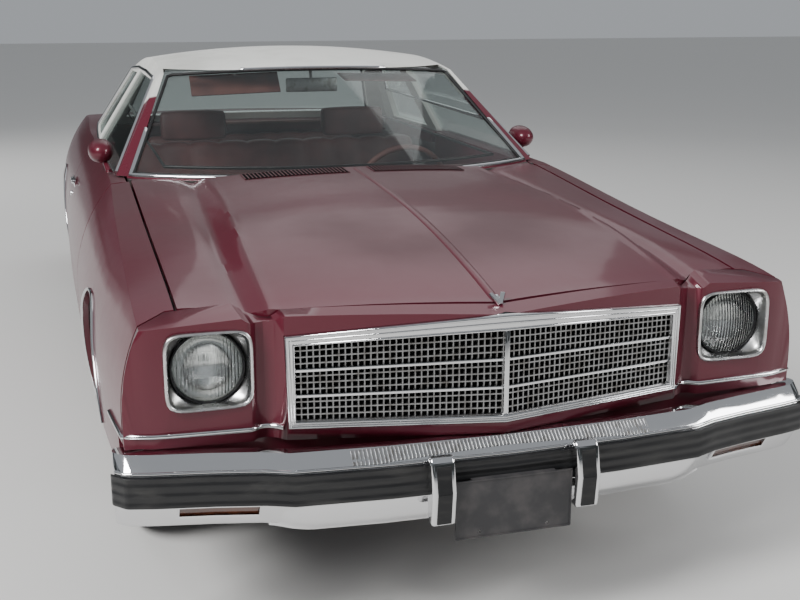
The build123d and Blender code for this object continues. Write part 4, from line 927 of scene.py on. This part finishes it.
def spun(work, profile, x, y, side, steps):
    """Turns a profile about a wheel's axle."""
    verts = [work.verts.new((x + side * d, y, AXLE_Z + r)) for d, r in profile]
    edges = [work.edges.new(pair) for pair in zip(verts, verts[1:])]
    bmesh.ops.spin(work, geom=verts + edges, cent=(x, y, AXLE_Z), axis=(1, 0, 0), dvec=(0, 0, 0),
                   angle=math.tau, steps=steps, use_merge=True)


for end, axle_y, half_track in WHEELS:
    for side, word in SIDES:
        wheel = f"wheel_{end}_{word}"
        x = side * half_track
        tyre = bmesh.new()
        outer = SIDEWALL + TREAD
        spun(tyre, outer + [(-d, r) for d, r in reversed(outer)], x, axle_y, side, 96)
        for block in range(SHOULDER_BLOCKS):
            a = math.tau * block / SHOULDER_BLOCKS
            sine, cosine = math.sin(a), math.cos(a)
            for d, slant in BLOCK_ROWS:
                centre = Vector((x + d, axle_y + BLOCK_RADIUS * cosine, AXLE_Z + BLOCK_RADIUS * sine))
                reach = Vector((slant, 0.004 * -sine, 0.004 * cosine))
                bar(tyre, centre - reach, centre + reach, 0.010, 0.0022, (0, -sine, cosine))
        outward(tyre)
        replaced = [f"tyre_{end}_{word}"]
        finished(f"tyre_look_{end}_{word}", tyre, wheel, tyre_rubber, smooth=35, replaces=replaced)
        rounded(f"rim_{end}_{word}", steel, radius=0.0012)
        trim = bmesh.new()
        spun(trim, TRIM_RING, x, axle_y, side, 72)
        spun(trim, HUB_CAP, x, axle_y, side, 48)
        outward(trim)
        finished(f"wheel_trim_{end}_{word}", trim, wheel, chrome, smooth=50)

# Tail: red moulded lamps with fine level ridges in their plastic, each in a bright frame on the tail panel
# and parted by an upright bright bar.
red = moulded_lens("red_lens", 20.0, (0.22, 0.008, 0.010), (0.32, 0.02, 0.018), 0.14, 0.1, 2, 700.0)
rounded("tail_lamps", red, radius=0.003)
TAIL_CORNERS = [(0.316, 0.636), (0.794, 0.636), (0.794, 0.794), (0.316, 0.794)]
TAIL_BAR_X, TAIL_BAR_Z, TAIL_BAR_HALF = 0.555, 0.715, Vector((0, 0, 0.073))
tail_frames = bmesh.new()
for side in (-1, 1):
    corners = [touch(["tail_panel"], (side * x, FROM_BEHIND, z), FORWARD)[0] for x, z in TAIL_CORNERS]
    around(tail_frames, corners, 0.008, 0.010)
    middle = touch(["tail_lamps"], (side * TAIL_BAR_X, FROM_BEHIND, TAIL_BAR_Z), FORWARD)[0]
    bar(tail_frames, middle - TAIL_BAR_HALF, middle + TAIL_BAR_HALF, 0.007, 0.008, (1, 0, 0))
finished("tail_lamp_frames", tail_frames, "body", chrome)

# Benches: a wide front cushion and back of stitched maroon vinyl over foam, with padded head rests, and the
# same behind. Foam bulges between the sewn channels and pulls in at the piped edges.
seat_vinyl = Finish("maroon_vinyl", Specular_IOR_Level=0.45)
crease = seat_vinyl.noise(7.0, 6.0)
seat_vinyl.weather(crease, (0.4, 0.7), (0.065, 0.013, 0.014), (0.11, 0.028, 0.028), 0.40, 0.2)
seat_vinyl.bump(seat_vinyl.cells(480.0, "DISTANCE_TO_EDGE").between(0.0, 0.2) + crease * 3.0, 0.22, 0.0009)


FOAM_RADIUS = 0.026


def pad(name, outline, half, channels, swell, x0=0.0, replaces=()):
    """Foam pad: a y, z outline run across the car, crowned between its sewn channels."""
    work = bmesh.new()
    side_face = work.faces.new([work.verts.new((x0 - half, y, z)) for y, z in outline])
    moved_copy(work, [side_face], (2 * half, 0, 0))
    soften(work, work.edges, FOAM_RADIUS, 3, clamp=True)
    steps = max(8, channels * 6)
    for i in range(1, steps):
        cut_x = x0 - half + 2 * half * i / steps
        geom = work.verts[:] + work.edges[:] + work.faces[:]
        bmesh.ops.bisect_plane(work, geom=geom, plane_co=(cut_x, 0, 0), plane_no=(1, 0, 0))
    middle_y = sum(y for y, _ in outline) / len(outline)
    middle_z = sum(z for _, z in outline) / len(outline)
    for v in work.verts:
        across = (v.co.x - x0 + half) / (2 * half)
        wave = abs(math.sin(math.pi * across * channels)) ** 0.6
        toward = Vector((0, v.co.y - middle_y, v.co.z - middle_z))
        if toward.length > 1e-4:
            v.co -= toward.normalized() * swell * (1.0 - wave)
    cut_large_faces(work)
    outward(work)
    piece = finished(name, work, "body", seat_vinyl, smooth=60, replaces=replaces)


FRONT_CUSHION = [(-0.230, 0.400), (-0.240, 0.500), (-0.180, 0.548), (0.300, 0.520), (0.330, 0.400)]
FRONT_BACK = [(0.232, 0.526), (0.330, 0.522), (0.462, 0.900), (0.430, 0.930), (0.370, 0.925)]
REAR_CUSHION = [(0.640, 0.402), (0.632, 0.500), (0.690, 0.540), (0.938, 0.505), (0.930, 0.402)]
REAR_BACK = [(0.942, 0.512), (1.060, 0.522), (1.102, 0.885), (1.030, 0.885)]
HEAD_REST = [(0.388, 0.932), (0.430, 0.935), (0.455, 0.960), (0.470, 1.040), (0.450, 1.070), (0.405, 1.066)]
FRONT_HALF, REAR_SEAT_HALF, REST_X = 0.672, 0.540, 0.380
pad("front_cushion", FRONT_CUSHION, FRONT_HALF, 10, 0.010, replaces=["front_bench"])
pad("front_back", FRONT_BACK, FRONT_HALF, 10, 0.010)
pad("rear_cushion", REAR_CUSHION, REAR_SEAT_HALF, 8, 0.010, replaces=["rear_bench"])
pad("rear_back", REAR_BACK, REAR_SEAT_HALF, 8, 0.008)
for side, word in SIDES:
    pad(f"head_rest_{word}", HEAD_REST, 0.150, 1, 0.006, x0=side * REST_X)

# Cabin trim: a moulded dashboard with a hooded cluster, a thin-rimmed steering wheel, the reddish-brown rear
# shelf and sun visors, all dulled maroon plastic, and a centre mirror in satin bright metal.
plastic = Finish("maroon_plastic", Specular_IOR_Level=0.4)
scuff = plastic.noise(9.0, 5.0)
plastic.weather(scuff, (0.4, 0.7), (0.065, 0.014, 0.013), (0.12, 0.038, 0.030), 0.5, 0.2)
plastic.bump(plastic.cells(600.0, "DISTANCE_TO_EDGE").between(0.0, 0.2), 0.2, 0.0006)
rounded("dashboard", plastic, radius=0.008)
rounded("steering_column", plastic, radius=0.002)
rounded("package_shelf", plastic, radius=0.002)
frame["nodes"]["steering_wheel"].data.materials[0] = plastic.material
visors = bmesh.new()
bar(visors, (-0.48, -0.370, 1.236), (-0.13, -0.390, 1.248), 0.110, 0.006, (0, 0.75, 0.66))
bar(visors, (0.13, -0.370, 1.262), (0.44, -0.350, 1.252), 0.110, 0.006, (0, 0.98, 0.20))
soften(visors, visors.edges, 0.0028)
finished("sun_visors", visors, "body", plastic)
inside_mirror = bmesh.new()
bar(inside_mirror, (-0.105, -0.405, 1.235), (0.105, -0.405, 1.235), 0.055, 0.014)
bar(inside_mirror, (0, -0.402, 1.240), (0, -0.372, 1.318), 0.012, 0.012, (1, 0, 0))
soften(inside_mirror, inside_mirror.edges, 0.005)
finished("inside_mirror", inside_mirror, "body", satin)

# Hidden steel: bay, cowl, floor, frame, axles, suspension and exhaust, in black paint under road film or in
# bare rusty pipe; the engine is painted iron.
grimy = {}
for name, clean, dirty, rough in (
    ("bay_steel", (0.020, 0.020, 0.021), (0.08, 0.07, 0.06), 0.45),
    ("frame_steel", (0.022, 0.021, 0.020), (0.11, 0.08, 0.055), 0.6),
    ("exhaust_steel", (0.16, 0.13, 0.11), (0.12, 0.05, 0.025), 0.6),
    ("engine_paint", (0.10, 0.035, 0.02), (0.05, 0.045, 0.04), 0.5),
    ("radiator_core", (0.015, 0.015, 0.015), (0.05, 0.045, 0.04), 0.55),
    ("seat_steel", (0.02, 0.02, 0.02), (0.07, 0.06, 0.05), 0.5),
):
    made = Finish(name)
    made.weather(made.noise(11.0, 6.0), (0.42, 0.72), clean, dirty, rough, 0.25)
    made.bump(made.noise(120.0, 4.0), 0.15, 0.001)
    grimy[name] = made
for node, slot in slot_of.items():
    if slot in grimy:
        materials = frame["nodes"][node].data.materials
        materials.clear()
        materials.append(grimy[slot].material)

# Engine dressing: a round air cleaner with a snorkel, a rocker cover on each bank and the upper coolant hose
# to the radiator, all standing on the plain iron block.
BLOCK_TOP_Z = 0.800
COVER_X, COVER_FROM_Y, COVER_TO_Y, COVER_Z = 0.198, -1.84, -1.27, BLOCK_TOP_Z + 0.017
covers = bmesh.new()
for side in (-1, 1):
    front, rear = (side * COVER_X, COVER_FROM_Y, COVER_Z), (side * COVER_X, COVER_TO_Y, COVER_Z)
    bar(covers, front, rear, 0.125, 0.036, (1, 0, 0))
soften(covers, covers.edges, 0.010, 3)
finished("rocker_covers", covers, "body", grimy["engine_paint"])
CLEANER_Y = -1.52
SNORKEL_ROOT = (0.10, CLEANER_Y - 0.10, BLOCK_TOP_Z + 0.040)
SNORKEL_MOUTH = (0.22, CLEANER_Y - 0.30, BLOCK_TOP_Z + 0.052)
cleaner = bmesh.new()
post(cleaner, (0, CLEANER_Y, BLOCK_TOP_Z + 0.018), 0.130, 0.034, 48)
post(cleaner, (0, CLEANER_Y, BLOCK_TOP_Z + 0.046), 0.168, 0.024, 48, tip=0.160)
bar(cleaner, SNORKEL_ROOT, SNORKEL_MOUTH, 0.070, 0.030, (1, 0.6, 0))
soften(cleaner, hard_edges(cleaner, 50), 0.004)
finished("air_cleaner", cleaner, "body", grimy["bay_steel"])
NUT_Z = BLOCK_TOP_Z + 0.064
nut = bmesh.new()
bar(nut, (-0.018, CLEANER_Y, NUT_Z), (0.018, CLEANER_Y, NUT_Z), 0.012, 0.004)
finished("air_cleaner_nut", nut, "body", satin)
HOSE = [
    (0.06, -1.878, 0.765), (0.065, -1.915, 0.785), (0.085, -1.97, 0.797), (0.13, -2.08, 0.796),
    (0.165, -2.16, 0.782), (0.185, -2.205, 0.762), (0.19, -2.229, 0.748),
]
moulding("coolant_hose", HOSE, 0.019, "body", finish=black, slot="bumper_rubber")


# Studio: a plain pale floor, soft lamps above and at each side, and a mottled band far off that shows only
# in shining surfaces, where it gives the bright metal its horizon.
def staged(name, work, finish):
    mesh = bpy.data.meshes.new(name)
    work.to_mesh(mesh)
    work.free()
    mesh.materials.append(finish.material)
    prop = bpy.data.objects.new(name, mesh)
    bpy.context.scene.collection.objects.link(prop)
    return prop


floor_work = bmesh.new()
bmesh.ops.create_grid(floor_work, x_segments=1, y_segments=1, size=40.0)
staged("floor", floor_work, Finish("pale_floor", Base_Color=(0.70, 0.69, 0.67, 1.0), Roughness=0.8))
BAND_R, BAND_TALL, BAND_MIDDLE_Z = 11.0, 5.4, 3.1
band_work = bmesh.new()
bmesh.ops.create_cone(band_work, cap_ends=False, segments=64, radius1=BAND_R, radius2=BAND_R,
                      depth=BAND_TALL, matrix=Matrix.Translation((0, 0, BAND_MIDDLE_Z)))
band_cloth = Finish("band_cloth", Roughness=0.9)
mottle = band_cloth.noise(0.45, 5.0).between(0.46, 0.66)
band_cloth.feed("Base Color", band_cloth.mixed(mottle, (0.045, 0.05, 0.05), (0.42, 0.44, 0.46)))
band = staged("horizon_band", band_work, band_cloth)
band.visible_camera = False
band.visible_diffuse = False
band.visible_shadow = False
band.visible_transmission = False
world = bpy.data.worlds.new("studio")
bpy.context.scene.world = world
world.use_nodes = True
sky_light = world.node_tree.nodes["Background"].inputs
sky_light["Color"].default_value = (0.86, 0.90, 0.95, 1.0)
sky_light["Strength"].default_value = 0.42
SOFT_LAMPS = [
    # name, place, looks at, size, watts, seen in bright metal
    ("key", (-5.0, -4.5, 5.5), (0, -1.0, 0.6), 2.6, 680, True),
    ("fill", (5.5, -4.5, 3.5), (0, -0.8, 0.6), 2.6, 240, True),
    ("top", (2.0, 4.8, 6.0), (0, 0.0, 0.8), 5.5, 85, True),
    ("back", (-4.0, 7.0, 4.0), (0, 1.0, 0.8), 2.6, 160, False),
]
for name, place, target, size, watts, seen in SOFT_LAMPS:
    lamp = bpy.data.lights.new(name, "AREA")
    lamp.size = size
    lamp.energy = watts
    holder = bpy.data.objects.new(name, lamp)
    holder.visible_glossy = seen
    bpy.context.scene.collection.objects.link(holder)
    aim = (Vector(target) - Vector(place)).to_track_quat("-Z", "Y")
    holder.matrix_world = Matrix.Translation(place) @ aim.to_matrix().to_4x4()
